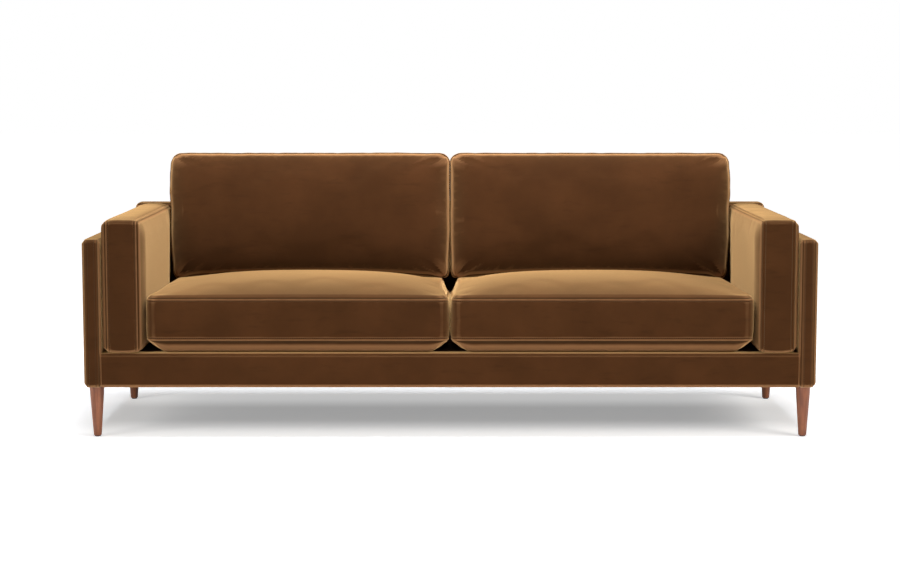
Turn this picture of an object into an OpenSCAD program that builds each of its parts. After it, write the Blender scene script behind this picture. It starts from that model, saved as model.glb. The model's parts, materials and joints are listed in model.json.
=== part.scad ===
// Two-seat tuxedo sofa: slab arms, a front rail, loose arm, seat and back cushions.
// Front faces -Y, +X is the viewer's right, and Z = 0 is the floor.

/* [Overall] */
// Width over both arm panels
sofa_w = 2180; // [1900:10:2400]
// Depth from the front of the arms to the outside back
sofa_d = 790; // [740:5:860]
// Height of the legs, glides included
leg_h = 154; // [120:1:180]

/* [Arm panels] */
// Thickness of a finished arm panel
arm_t = 52; // [48:1:64]
// Height of an arm panel above the legs
arm_h = 443; // [410:1:470]
// Velvet and wadding over the arm's boards
arm_pad_t = 7; // [5:0.5:8]
// Thickness of the fibreboard on both faces of the arm frame
arm_board_t = 3; // [2:0.5:4]
// Rounding of the arm panel's upper edges
arm_edge_r = 8; // [5:0.5:11]
// Rounding of the arm panel's lower edges
arm_foot_r = 3.5; // [2:0.5:5]
// Height of the arm frame's bottom rail
arm_low_rail_h = 70; // [60:1:80]
// Height of the arm frame's top rail
arm_top_rail_h = 45; // [35:1:60]
// Width of an arm post
arm_post_w = 60; // [45:1:80]

/* [Seat frame] */
// Height of the front rail above the legs, up to the deck
rail_h = 103; // [96:1:116]
// Depth of the padded front edge
rail_cover_d = 60; // [50:1:75]
// Padding on the front of the front rail
rail_pad_t = 10; // [8:0.5:14]
// Rounding of the front rail's padded edges
rail_edge_r = 7; // [4:0.5:9]
// Thickness of the seat frame's boards
board_t = 25; // [20:1:30]
// Height of the stretchers under the springs
stretcher_h = 40; // [30:1:50]
// Leg length of a triangular corner block
block_leg = 70; // [50:1:90]
// Height of a corner block
block_h = 55; // [40:1:70]
// Thickness of the dust cover
dust_t = 1; // [0.6:0.1:1.5]

/* [Seat suspension] */
// Number of sinuous springs
spring_count = 12; // [8:1:14]
// Wire diameter of a spring
spring_wire_d = 3.8; // [3:0.1:4.5]
// Distance between two straight runs of a spring
spring_pitch = 44; // [38:1:52]
// Straight length of one run
spring_run = 26; // [16:1:36]
// Diameter of the tie wires across the springs
tie_wire_d = 3; // [2.4:0.1:3.6]
// Thickness of the padded deck
deck_t = 12; // [9:0.5:16]
// Metal thickness over the wire in a spring clip
clip_t = 1.4; // [1:0.1:1.8]
// Width of a spring clip
clip_w = 20; // [14:1:24]
// Length of a spring clip along the spring
clip_l = 16; // [12:1:20]

/* [Back panel] */
// Height of the back panel above the legs
back_h = 506; // [470:1:560]
// Depth of the back panel at its top
back_top_d = 90; // [76:1:110]
// Lean of the inside back, in degrees
back_rake = 10; // [7:0.5:12]
// Rounding of the back panel's upper corners, seen from the front
back_corner_r = 20; // [14:1:26]
// Rounding along the back panel's top edges
back_edge_r = 9; // [6:0.5:12]
// Velvet and wadding on the inside back
back_skin_t = 4; // [3:0.5:6]
// Foam slab of the inside back
back_foam_t = 20; // [14:1:28]
// Padding over the top rail
back_top_pad_t = 8; // [6:0.5:12]
// Thickness of the outside-back panel
outside_t = 4; // [3:0.5:6]
// Width of a back post
back_post_w = 40; // [30:1:55]
// Height of the back's top rail
back_rail_h = 60; // [45:1:75]
// Width of an elastic webbing strap
strap_w = 50; // [40:1:60]
// Thickness of the webbing
strap_t = 2; // [1.5:0.1:2.5]

/* [Legs] */
// Diameter of a leg where it meets the arm
leg_top_d = 44.8; // [38:0.2:46]
// Diameter of a leg at the foot
leg_foot_d = 24; // [20:0.5:30]
// Bevel round the foot
leg_bevel = 2; // [1:0.5:3]
// Leg's centre, in from the arm's outer side
leg_side_inset = 29.5; // [25:0.5:32]
// Front leg's centre, back from the front of the arm
leg_front_inset = 45; // [35:1:60]
// Rear leg's centre, in from the outside back
leg_rear_inset = 45; // [35:1:60]
// Diameter of a hanger bolt
bolt_d = 8; // [6:0.5:10]
// Depth of the hanger bolt in the leg
bolt_leg_l = 40; // [30:1:50]
// Height of a glide below the foot
glide_h = 3; // [2:0.5:5]
// Diameter of a glide
glide_d = 18; // [15:0.5:19]

/* [Seat cushions] */
// Height between the two seams of a seat cushion's band
seat_band_h = 130; // [115:1:145]
// Swell of the underside below the lower seam
seat_belly = 35; // [28:1:42]
// Crown of the top above the upper seam
seat_crown = 42; // [30:1:50]
// Front seam's distance behind the front of the arms
seat_front_inset = 8; // [7:0.5:20]
// Rounding of a seat cushion's upright corners
seat_corner_r = 24; // [16:1:32]
// Wadding round a seat core
seat_wrap = 22; // [16:1:28]

/* [Back cushions] */
// Height of a back cushion along the inside back
back_cush_h = 386; // [350:1:420]
// Width of the band between its two seams
back_band = 100; // [85:1:115]
// Crown of its front
back_crown = 30; // [20:1:36]
// Crown of its rear face
back_rear_crown = 8; // [5:0.5:12]
// Rounding of its corners
back_cush_r = 30; // [22:1:40]
// Wadding round a back core
back_wrap = 22; // [16:1:28]

/* [Arm cushions] */
// Full width of an arm cushion
arm_cush_w = 129; // [120:1:140]
// Full height of an arm cushion
arm_cush_h = 404; // [385:1:420]
// Swell of the sides past the front seams
arm_swell = 17; // [12:0.5:20]
// Swell of the top and the underside past the front seams
arm_rise = 7; // [4:0.5:9]
// Rounding of the front panel's corners
arm_front_r = 9; // [6:0.5:12]
// Rounding of the long edges behind the front panel
arm_body_r = 30; // [22:1:34]
// Wadding round an arm core
arm_wrap = 14; // [11:1:18]

/* [Zips] */
// Width of a zip's tape
zip_w = 26; // [20:1:32]
// Thickness of a zip's tape
zip_t = 1.6; // [1.2:0.1:2]
// Length of a zip's slider
zip_slider_l = 14; // [10:1:18]

/* [Clearances] */
// Gap between a loose cushion and what it rests on or against
seat_gap = 0.4; // [0.3:0.05:0.5]
// Gap between two neighbouring loose cushions
side_gap = 0.6; // [0.5:0.05:0.8]
// Radial play of a bolt in its hole
bolt_play = 0.1; // [0.05:0.01:0.2]
// Gap round a core, a wire or a zip
core_gap = 0.2; // [0.1:0.05:0.3]

/* [Hidden] */

$fn = 48;
// How far a cutting shape runs past what it cuts
overrun = 5;

// Main planes
front_y = -sofa_d / 2;
rear_y = sofa_d / 2;
arm_x = sofa_w / 2;
inner_x = arm_x - arm_t;
deck_z = leg_h + rail_h;
arm_top_z = leg_h + arm_h;
back_top_z = leg_h + back_h;

// Inside back: a face that leans back by back_rake and meets the top at back_face_y
back_face_y = rear_y - back_top_d;
function face_y(z) = back_face_y - (back_top_z - z) * tan(back_rake);
// The same face set in by a distance square to it
function inset_y(z, t) = face_y(z) + t / cos(back_rake);

// Spring zone between the rails and the deck
frame_low_z = leg_h + dust_t;
spring_zone = spring_wire_d + clip_t + core_gap;
rail_top_z = deck_z - deck_t - spring_zone;
// Depth from the inside back to the front of the back posts
post_inset = back_skin_t + back_foam_t + strap_t;
post_low_y = inset_y(deck_z, post_inset);
rear_rail_y = post_low_y - board_t;
front_rail_y = front_y + rail_pad_t;
seat_rear_y = face_y(deck_z);

// Arm frame
arm_mid_x = arm_x - arm_t / 2;
arm_frame_t = arm_t - 2 * (arm_pad_t + arm_board_t);
arm_frame_top_z = arm_top_z - arm_pad_t;
arm_post_low_z = leg_h + arm_low_rail_h;
arm_post_high_z = arm_frame_top_z - arm_top_rail_h;

// Legs and their fixings
leg_front_y = front_y + leg_front_inset;
leg_rear_y = rear_y - leg_rear_inset;
leg_x = arm_x - leg_side_inset;
nut_d = bolt_d * 1.5;
nut_l = bolt_d * 2.5;
glide_nail_d = glide_d * 0.16;
glide_nail_l = glide_d * 0.8;

// Frame bolts: through a side rail or a back post into the arm frame
frame_bolt_head_d = bolt_d * 1.9;
frame_bolt_head_h = bolt_d * 0.6;
frame_bolt_z = leg_h + arm_low_rail_h / 2;
frame_bolt_ys = [front_y + rail_cover_d + block_leg * 1.4, seat_rear_y - block_leg * 1.4];
back_bolt_z = arm_post_high_z - arm_post_w;
back_bolt_y = rear_y - arm_pad_t - arm_post_w / 2;
frame_bolt_reach = arm_pad_t + arm_board_t + arm_frame_t * 0.75;

// Springs
spring_first_y = front_rail_y + board_t / 2;
spring_last_y = rear_rail_y + board_t / 2;
spring_runs = round((spring_last_y - spring_first_y) / spring_pitch) + 1;
spring_step = (spring_last_y - spring_first_y) / (spring_runs - 1);
spring_bend_r = spring_step / 2;
spring_half_w = spring_run / 2 + spring_bend_r + spring_wire_d / 2;
spring_span = 2 * (inner_x - board_t - 2 * spring_half_w);
spring_xs = [for (i = [0:spring_count - 1]) spring_span * (i / (spring_count - 1) - 0.5)];
tie_shares = [0.25, 0.5, 0.75];
stretcher_share = 0.36;

// Back frame
post_shares = [-1, -0.34, 0.34, 1];
back_end_x = inner_x - back_skin_t;
back_rail_top_z = back_top_z - back_top_pad_t;
back_rail_low_z = back_rail_top_z - back_rail_h;
back_lip_h = back_rail_h / 2;
strap_shares = [0.1, 0.3, 0.5, 0.7, 0.9];

// Seat cushion: its place and the shape of its crown
seat_out_x = inner_x - seat_gap - arm_cush_w - side_gap;
seat_swell_share = 0.04;
seat_swell = seat_band_h * seat_swell_share;
seat_half_w = (seat_out_x - side_gap / 2) / 2 - seat_swell;
seat_mid_x = (seat_out_x + side_gap / 2) / 2;
seat_low_z = deck_z + seat_gap;
seat_seam_low_z = seat_low_z + seat_belly;
seat_seam_top_z = seat_seam_low_z + seat_band_h;
seat_front_y = front_y + seat_front_inset;
seat_back_y = face_y(seat_seam_low_z) - seat_gap - seat_swell;
seat_half_d = (seat_back_y - seat_front_y) / 2;
seat_mid_y = (seat_back_y + seat_front_y) / 2;
seat_peak_share = -0.14;
seat_crown_power = 2.2;
seat_belly_power = 16;
seat_draw = 3;
seat_peak_y = seat_mid_y + seat_peak_share * seat_half_d;
function seat_rise(s) = seat_crown * (1 - pow(s, seat_crown_power));
function seat_top_z(y) =
    seat_seam_top_z + seat_rise(min(1, max(0, (y - seat_peak_y) / (seat_back_y - seat_peak_y))));

// Back cushion: laid against the inside back and down on the seat cushion
back_swell_share = 0.04;
back_swell = back_band * back_swell_share;
back_draw = 3;
back_depth = back_band + back_crown + back_rear_crown;
back_out_x = seat_out_x;
back_half_w = (back_out_x - side_gap / 2) / 2 - back_swell;
back_half_h = back_cush_h / 2;
back_probe_z = seat_seam_top_z;
back_reach_shares = [0, 0.1, 0.2, 0.3, 0.4, 0.5, 0.6, 0.7, 0.8, 0.9, 1];
back_foot_z = back_swell + side_gap + max([for (s = back_reach_shares)
    seat_top_z(face_y(back_probe_z) - s * back_depth * cos(back_rake))
    - s * back_depth * sin(back_rake)]);
// A point at x, at height u up the inside back and v in front of it
function on_back(x, u, v) = [
    x,
    face_y(back_foot_z) + u * sin(back_rake) - v * cos(back_rake),
    back_foot_z + u * cos(back_rake) + v * sin(back_rake)
];

// Arm cushion: its front panel's seam outline and the fuller body behind it
arm_cush_mid_x = inner_x - seat_gap - arm_cush_w / 2;
arm_cush_low_z = deck_z + seat_gap;
arm_cush_mid_z = arm_cush_low_z + arm_cush_h / 2;
arm_front_y = front_y + arm_rise;
arm_draw = 2;
arm_panel_half_w = arm_cush_w / 2 - arm_swell;
arm_panel_half_h = arm_cush_h / 2 - arm_rise;
// A point at x and z, at a share of the length from the front seam to the inside back
function along_arm(x, z, s) = [x, arm_front_y + s * (face_y(z) - seat_gap - arm_front_y), z];

// Zips, let into their covers
zip_depth = zip_t + core_gap;
zip_share = 0.7;

// Rounded outline with its sides drawn in: half sizes a and b, corner radius r
corner_steps = 4;
side_steps = 7;
outline_count = 4 * (corner_steps + 1 + side_steps);
function corner_at(a, b, r, k) = [(k == 0 || k == 3 ? 1 : -1) * (a - r), (k < 2 ? 1 : -1) * (b - r)];
function arc_at(a, b, r, k, angle) = corner_at(a, b, r, k % 4) + r * [cos(angle), sin(angle)];
function outline(a, b, r, draw) = [
    for (k = [0:3]) for (i = [0:corner_steps + side_steps])
        let (
            t = (i - corner_steps) / (side_steps + 1),
            turn = 90 * (k + 1),
            p = arc_at(a, b, r, k, turn),
            q = arc_at(a, b, r, k + 1, turn)
        )
        i <= corner_steps
            ? arc_at(a, b, r, k, 90 * (k + i / corner_steps))
            : p + t * (q - p) - 4 * t * (1 - t) * draw * [cos(turn), sin(turn)]
];

// Closed skin over rings of outline_count points each, with a point at both ends
function ring_faces(count, n) = concat(
    [for (j = [0:n - 1]) [0, 1 + (j + 1) % n, 1 + j]],
    [for (i = [0:count - 2]) for (j = [0:n - 1]) for (half = [0, 1])
        let (
            a = 1 + i * n + j,
            b = 1 + i * n + (j + 1) % n
        )
        half == 0 ? [a, b, b + n] : [a, b + n, a + n]],
    [for (j = [0:n - 1]) let (last = 1 + count * n) [last, last - n + j, last - n + (j + 1) % n]]
);

module skin(low_point, rings, high_point) {
    points = concat([low_point], [for (ring = rings) each ring], [high_point]);
    polyhedron(points, [for (f = ring_faces(len(rings), outline_count)) [f[2], f[1], f[0]]]);
}

module left() {
    mirror([1, 0, 0]) children();
}

module both() {
    children();
    left() children();
}

// Box between two corners
module block(low, high) {
    translate(low) cube(high - low);
}

// Flat outline with round corners: high_r above, low_r below
module round_plate(w, h, high_r, low_r) {
    translate([0, low_r]) square([w, h - high_r - low_r]);
    translate([low_r, 0]) square([w - 2 * low_r, h / 2]);
    translate([high_r, h / 2]) square([w - 2 * high_r, h / 2]);
    for (side = [0, 1]) {
        translate([side == 0 ? high_r : w - high_r, h - high_r]) circle(high_r);
        translate([side == 0 ? low_r : w - low_r, low_r]) circle(low_r);
    }
}

// Box whose twelve edges are rounded, as the meeting of three extrusions
module soft_box(low, high, high_r, low_r) {
    size = high - low;
    translate(low) intersection() {
        translate([0, size[1], 0]) rotate([90, 0, 0]) linear_extrude(size[1])
            round_plate(size[0], size[2], high_r, low_r);
        rotate([90, 0, 90]) linear_extrude(size[0])
            round_plate(size[1], size[2], high_r, low_r);
        linear_extrude(size[2]) round_plate(size[0], size[1], high_r, high_r);
    }
}

// Prism along X of points given as [y, z]
module prism_x(low_x, high_x, points) {
    translate([low_x, 0, 0]) rotate([90, 0, 90]) linear_extrude(high_x - low_x) polygon(points);
}

// Arm panel frame

module arm_low_rail() {
    color("burlywood") difference() {
        block([arm_mid_x - arm_frame_t / 2, front_y + arm_pad_t, leg_h],
              [arm_mid_x + arm_frame_t / 2, rear_y - arm_pad_t, arm_post_low_z]);
        for (y = [leg_front_y, leg_rear_y]) translate([leg_x, y, leg_h]) {
            translate([0, 0, -overrun])
                cylinder(h = 2 * nut_l + overrun, d = bolt_d + 2 * bolt_play);
            translate([0, 0, -overrun])
                cylinder(h = nut_l + core_gap + overrun, d = nut_d + 2 * bolt_play);
        }
        seat_bolt_holes();
    }
}

module arm_top_rail() {
    color("burlywood")
        block([arm_mid_x - arm_frame_t / 2, front_y + arm_pad_t, arm_post_high_z],
              [arm_mid_x + arm_frame_t / 2, rear_y - arm_pad_t, arm_frame_top_z]);
}

module arm_posts() {
    color("burlywood") difference() {
        for (y = [front_y + arm_pad_t, -arm_post_w / 2, rear_y - arm_pad_t - arm_post_w])
            block([arm_mid_x - arm_frame_t / 2, y, arm_post_low_z],
                  [arm_mid_x + arm_frame_t / 2, y + arm_post_w, arm_post_high_z]);
        back_bolt_hole();
    }
}

module arm_boards() {
    color("tan") difference() {
        for (x = [inner_x + arm_pad_t, arm_x - arm_pad_t - arm_board_t])
            block([x, front_y + arm_pad_t, leg_h],
                  [x + arm_board_t, rear_y - arm_pad_t, arm_frame_top_z]);
        seat_bolt_holes();
        back_bolt_hole();
    }
}

module arm_cover() {
    color("saddlebrown") difference() {
        soft_box([inner_x, front_y, leg_h], [arm_x, rear_y, arm_top_z], arm_edge_r, arm_foot_r);
        block([inner_x + arm_pad_t, front_y + arm_pad_t, leg_h - overrun],
              [arm_x - arm_pad_t, rear_y - arm_pad_t, arm_frame_top_z]);
        seat_bolt_holes();
        back_bolt_hole();
    }
}

// Seat frame

module seat_bolt_holes() {
    for (y = frame_bolt_ys) translate([inner_x - board_t - overrun, y, frame_bolt_z])
        rotate([0, 90, 0])
            cylinder(h = overrun + board_t + frame_bolt_reach, d = bolt_d + 2 * bolt_play);
}

module back_bolt_hole() {
    translate([back_end_x - back_post_w - overrun, back_bolt_y, back_bolt_z]) rotate([0, 90, 0])
        cylinder(h = overrun + back_post_w + back_skin_t + frame_bolt_reach,
                 d = bolt_d + 2 * bolt_play);
}

module front_rail() {
    color("burlywood")
        block([-inner_x, front_rail_y, frame_low_z], [inner_x, front_rail_y + board_t, rail_top_z]);
}

module rear_rail() {
    color("burlywood")
        block([-inner_x, rear_rail_y, frame_low_z], [inner_x, post_low_y, rail_top_z]);
}

module side_rail() {
    color("burlywood") difference() {
        block([inner_x - board_t, front_rail_y + board_t, frame_low_z],
              [inner_x, rear_rail_y, rail_top_z]);
        seat_bolt_holes();
    }
}

module seat_stretchers() {
    color("burlywood") both() translate([inner_x * stretcher_share, 0, 0])
        block([-board_t / 2, front_rail_y + board_t, frame_low_z],
              [board_t / 2, rear_rail_y, frame_low_z + stretcher_h]);
}

module corner_blocks() {
    corner_x = inner_x - board_t;
    color("burlywood") both() translate([0, 0, frame_low_z]) linear_extrude(block_h) {
        polygon([[corner_x, front_rail_y + board_t],
                 [corner_x, front_rail_y + board_t + block_leg],
                 [corner_x - block_leg, front_rail_y + board_t]]);
        polygon([[corner_x, rear_rail_y],
                 [corner_x - block_leg, rear_rail_y],
                 [corner_x, rear_rail_y - block_leg]]);
    }
}

module front_rail_cover() {
    color("saddlebrown") difference() {
        soft_box([-inner_x, front_y, leg_h], [inner_x, front_y + rail_cover_d, deck_z],
                 rail_edge_r, arm_foot_r);
        block([-inner_x - overrun, front_rail_y, leg_h - overrun],
              [inner_x + overrun, front_y + rail_cover_d + overrun, deck_z - deck_t]);
    }
}

// Seat suspension

// Half ring of wire, seen from above, that joins two runs on one side
module spring_bend(side) {
    outer_r = spring_bend_r + spring_wire_d / 2;
    intersection() {
        difference() {
            circle(outer_r);
            circle(outer_r - spring_wire_d);
        }
        translate([side > 0 ? 0 : -outer_r, -outer_r]) square([outer_r, 2 * outer_r]);
    }
}

module sinuous_spring() {
    translate([0, spring_first_y, rail_top_z]) linear_extrude(spring_wire_d) {
        for (i = [0:spring_runs - 1])
            translate([-spring_run / 2, i * spring_step - spring_wire_d / 2])
                square([spring_run, spring_wire_d]);
        for (i = [0:spring_runs - 2])
            translate([(i % 2 == 0 ? 1 : -1) * spring_run / 2, (i + 0.5) * spring_step])
                spring_bend(i % 2 == 0 ? 1 : -1);
    }
}

module seat_springs() {
    color("silver") for (x = spring_xs) translate([x, 0, 0]) sinuous_spring();
}

module spring_clips(y) {
    groove_w = spring_wire_d + 2 * core_gap;
    color("dimgray") for (x = spring_xs) difference() {
        block([x - clip_w / 2, y - clip_l / 2, rail_top_z],
              [x + clip_w / 2, y + clip_l / 2, rail_top_z + spring_wire_d + clip_t]);
        block([x - clip_w / 2 - overrun, y - groove_w / 2, rail_top_z - overrun],
              [x + clip_w / 2 + overrun, y + groove_w / 2, rail_top_z + spring_wire_d + core_gap]);
    }
}

module spring_tie_wires() {
    wire_z = rail_top_z - tie_wire_d / 2 - core_gap;
    color("dimgray") for (s = tie_shares)
        translate([-inner_x + board_t, spring_first_y + s * (spring_last_y - spring_first_y), wire_z])
            rotate([0, 90, 0]) cylinder(h = 2 * (inner_x - board_t), d = tie_wire_d);
}

module seat_deck() {
    color("peru")
        block([-inner_x, front_y + rail_cover_d, deck_z - deck_t], [inner_x, post_low_y, deck_z]);
}

module dust_cover() {
    color("black")
        block([-inner_x, front_rail_y, leg_h], [inner_x, rear_y - outside_t, frame_low_z]);
}

// Back panel

module back_posts() {
    foot = [[post_low_y, frame_low_z],
            [post_low_y, deck_z],
            [inset_y(back_rail_low_z, post_inset), back_rail_low_z],
            [rear_y - outside_t, back_rail_low_z],
            [rear_y - outside_t, frame_low_z]];
    color("burlywood") difference() {
        for (s = post_shares) translate([s * (back_end_x - back_post_w / 2), 0, 0])
            prism_x(-back_post_w / 2, back_post_w / 2, foot);
        both() back_bolt_hole();
    }
}

// Keeps what is inside the back panel within its rounded upper corners
module inside_back() {
    intersection() {
        children();
        translate([-back_end_x, rear_y, leg_h]) rotate([90, 0, 0]) linear_extrude(sofa_d)
            round_plate(2 * back_end_x, back_rail_top_z - leg_h, back_corner_r, arm_foot_r);
    }
}

module back_top_rail() {
    color("burlywood") inside_back() prism_x(-back_end_x, back_end_x,
        [[inset_y(back_rail_low_z, post_inset), back_rail_low_z],
         [inset_y(back_rail_top_z, post_inset), back_rail_top_z],
         [rear_y - outside_t, back_rail_top_z],
         [rear_y - outside_t, back_rail_low_z]]);
}

// Layer of the inside back between two depths and two heights
module back_layer(near, far, low_z, high_z) {
    inside_back() prism_x(-back_end_x, back_end_x,
        [[inset_y(low_z, near), low_z],
         [inset_y(high_z, near), high_z],
         [inset_y(high_z, far), high_z],
         [inset_y(low_z, far), low_z]]);
}

module back_webbing() {
    color("black") for (s = strap_shares) {
        mid_z = deck_z + s * (back_rail_top_z - deck_z);
        back_layer(back_skin_t + back_foam_t + core_gap / 2, post_inset - core_gap / 2,
                   mid_z - strap_w / 2, mid_z + strap_w / 2);
    }
}

module back_foam_slab() {
    color("lemonchiffon")
        back_layer(back_skin_t, back_skin_t + back_foam_t, deck_z, back_rail_top_z);
}

// Points on an arc about c, from one angle to another
edge_steps = 6;
function arc_points(c, r, from, to) = [
    for (i = [0:edge_steps]) let (angle = from + (to - from) * i / edge_steps)
        c + r * [cos(angle), sin(angle)]
];

// Side view of the whole back panel with its two top edges rounded
module back_outline() {
    round_z = back_top_z - back_edge_r;
    polygon(concat([[face_y(deck_z), deck_z]],
                   arc_points([inset_y(round_z, back_edge_r), round_z], back_edge_r,
                              180 - back_rake, 90),
                   arc_points([rear_y - back_edge_r, round_z], back_edge_r, 90, 0),
                   [[rear_y, deck_z]]));
}

module back_cover() {
    color("saddlebrown") difference() {
        intersection() {
            translate([-inner_x, 0, 0]) rotate([90, 0, 90]) linear_extrude(2 * inner_x)
                back_outline();
            translate([-inner_x, rear_y + overrun, leg_h]) rotate([90, 0, 0])
                linear_extrude(sofa_d) round_plate(2 * inner_x, back_h, back_corner_r, arm_foot_r);
        }
        inside_back() prism_x(-back_end_x, back_end_x,
            [[inset_y(deck_z - overrun, back_skin_t), deck_z - overrun],
             [inset_y(back_rail_top_z, back_skin_t), back_rail_top_z],
             [rear_y - outside_t, back_rail_top_z],
             [rear_y - outside_t, deck_z - overrun]]);
        block([-back_end_x, rear_y - back_top_d / 2, deck_z - overrun],
              [back_end_x, rear_y + overrun, back_rail_top_z - back_lip_h]);
        both() back_bolt_hole();
    }
}

module outside_back() {
    color("saddlebrown") {
        block([-inner_x, rear_y - outside_t, leg_h], [inner_x, rear_y, deck_z]);
        block([-back_end_x, rear_y - outside_t, deck_z],
              [back_end_x, rear_y, back_rail_top_z - back_lip_h]);
    }
}

// Legs and fixings

module at_legs() {
    both() for (y = [leg_front_y, leg_rear_y]) translate([leg_x, y, 0]) children();
}

module leg(y) {
    color("sienna") translate([leg_x, y, 0]) difference() {
        rotate_extrude() polygon([[0, glide_h],
                                  [leg_foot_d / 2 - leg_bevel, glide_h],
                                  [leg_foot_d / 2, glide_h + leg_bevel],
                                  [leg_top_d / 2, leg_h],
                                  [0, leg_h]]);
        translate([0, 0, leg_h - bolt_leg_l - core_gap])
            cylinder(h = bolt_leg_l + overrun, d = bolt_d + 2 * bolt_play);
        cylinder(h = glide_h + glide_nail_l + core_gap, d = glide_nail_d + 2 * bolt_play);
    }
}

module hanger_bolts() {
    color("silver") at_legs() translate([0, 0, leg_h - bolt_leg_l])
        cylinder(h = bolt_leg_l + 1.5 * nut_l, d = bolt_d);
}

module insert_nuts() {
    color("goldenrod") at_legs() translate([0, 0, leg_h]) difference() {
        cylinder(h = nut_l, d = nut_d);
        translate([0, 0, -overrun]) cylinder(h = nut_l + 2 * overrun, d = bolt_d + 2 * bolt_play);
    }
}

module leg_glides() {
    color("dimgray") at_legs() rotate_extrude()
        polygon([[0, 0],
                 [glide_d / 2 - glide_h / 3, 0],
                 [glide_d / 2, glide_h / 3],
                 [glide_d / 2, glide_h],
                 [glide_nail_d / 2, glide_h],
                 [glide_nail_d / 2, glide_h + glide_nail_l],
                 [0, glide_h + glide_nail_l]]);
}

// Bolt along X with its head at the low end
module frame_bolt(x, y, z, length) {
    translate([x, y, z]) rotate([0, 90, 0]) {
        cylinder(h = length - core_gap, d = bolt_d);
        translate([0, 0, -frame_bolt_head_h]) cylinder(h = frame_bolt_head_h, d = frame_bolt_head_d);
    }
}

module frame_bolts() {
    color("silver") both() {
        for (y = frame_bolt_ys)
            frame_bolt(inner_x - board_t, y, frame_bolt_z, board_t + frame_bolt_reach);
        frame_bolt(back_end_x - back_post_w, back_bolt_y, back_bolt_z,
                   back_post_w + back_skin_t + frame_bolt_reach);
    }
}

// Zip strip along X that faces +Z, just off the floor of its pocket
module zip_strip(length) {
    color("black") translate([0, 0, core_gap / 2]) {
        translate([-length / 2, -zip_w / 2, 0]) cube([length, zip_w, zip_t]);
        translate([-length / 2, -zip_w / 8, 0]) cube([length, zip_w / 4, 1.4 * zip_t]);
        translate([length / 2 - 2 * zip_slider_l, -zip_w / 5, 0])
            cube([zip_slider_l, 2 * zip_w / 5, 2 * zip_t]);
    }
}

// Seat cushions

// Rings of the underside and the crown, as shares of the seam outline drawn in to the crown's peak
seat_belly_shares = [0.45, 0.8, 0.93, 0.98];
seat_crown_shares = [0.97, 0.9, 0.75, 0.55, 0.3];
function seat_ring(s, z, grow) = [
    for (p = outline(seat_half_w + grow, seat_half_d + grow, seat_corner_r, seat_draw))
        [seat_mid_x + s * p[0], seat_peak_y + s * (seat_mid_y + p[1] - seat_peak_y), z]
];
function seat_belly_z(s) = seat_seam_low_z - seat_belly * (1 - pow(s, seat_belly_power));

module seat_form() {
    skin([seat_mid_x, seat_peak_y, seat_low_z],
         concat([for (s = seat_belly_shares) seat_ring(s, seat_belly_z(s), 0)],
                [seat_ring(1, seat_seam_low_z, 0),
                 seat_ring(1, seat_seam_low_z + seat_band_h / 3, seat_swell),
                 seat_ring(1, seat_seam_top_z - seat_band_h / 3, seat_swell),
                 seat_ring(1, seat_seam_top_z, 0)],
                [for (s = seat_crown_shares) seat_ring(s, seat_seam_top_z + seat_rise(s), 0)]),
         [seat_mid_x, seat_peak_y, seat_seam_top_z + seat_crown]);
}

seat_zip_l = 2 * seat_half_w * zip_share;
seat_zip_y = seat_back_y + seat_swell - seat_draw - zip_depth;
seat_zip_z = (seat_seam_low_z + seat_seam_top_z) / 2;

module seat_core_block(grow) {
    block([seat_mid_x - seat_half_w + seat_wrap - grow, seat_front_y + seat_wrap - grow,
           seat_seam_low_z - grow],
          [seat_mid_x + seat_half_w - seat_wrap + grow, seat_back_y - seat_wrap + grow,
           seat_seam_top_z + grow]);
}

module seat_cushion_cover() {
    color("saddlebrown") difference() {
        seat_form();
        seat_core_block(core_gap);
        block([seat_mid_x - seat_zip_l / 2 - core_gap, seat_zip_y, seat_zip_z - zip_w / 2 - core_gap],
              [seat_mid_x + seat_zip_l / 2 + core_gap, seat_back_y + seat_swell + overrun,
               seat_zip_z + zip_w / 2 + core_gap]);
    }
}

module seat_cushion_core() {
    color("lemonchiffon") seat_core_block(0);
}

module seat_cushion_zip() {
    translate([seat_mid_x, seat_zip_y, seat_zip_z]) rotate([-90, 0, 0]) zip_strip(seat_zip_l);
}

// Back cushions

// Rings of the rear face and the front, as shares of the seam outline
back_rear_shares = [0.5, 0.85, 0.96];
back_front_shares = [0.97, 0.88, 0.7, 0.4];
back_crown_power = 3;
back_mid_x = (back_out_x + side_gap / 2) / 2;
back_rear_v = seat_gap + back_rear_crown;
back_front_v = back_rear_v + back_band;
function back_ring(s, v, grow) = [
    for (p = outline(back_half_w + grow, back_half_h + grow, back_cush_r, back_draw))
        on_back(back_mid_x + s * p[0], back_half_h + s * p[1], v)
];
function back_front_at(s) = back_front_v + back_crown * (1 - pow(s, back_crown_power));
function back_rear_at(s) = back_rear_v - back_rear_crown * (1 - pow(s, back_crown_power));

module back_form() {
    skin(on_back(back_mid_x, back_half_h, seat_gap),
         concat([for (s = back_rear_shares) back_ring(s, back_rear_at(s), 0)],
                [back_ring(1, back_rear_v, 0),
                 back_ring(1, back_rear_v + back_band / 3, back_swell),
                 back_ring(1, back_front_v - back_band / 3, back_swell),
                 back_ring(1, back_front_v, 0)],
                [for (s = back_front_shares) back_ring(s, back_front_at(s), 0)]),
         on_back(back_mid_x, back_half_h, back_front_v + back_crown));
}

back_zip_l = 2 * back_half_w * zip_share;
back_zip_u = back_draw - back_swell + zip_depth;
back_zip_v = (back_rear_v + back_front_v) / 2;

// Box in the back cushion's own lean, from low to high given as [x, u, v]
module leaning_block(low, high) {
    corners = [[low[1], low[2]], [high[1], low[2]], [high[1], high[2]], [low[1], high[2]]];
    prism_x(low[0], high[0],
        [for (c = corners) let (p = on_back(0, c[0], c[1])) [p[1], p[2]]]);
}

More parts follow.
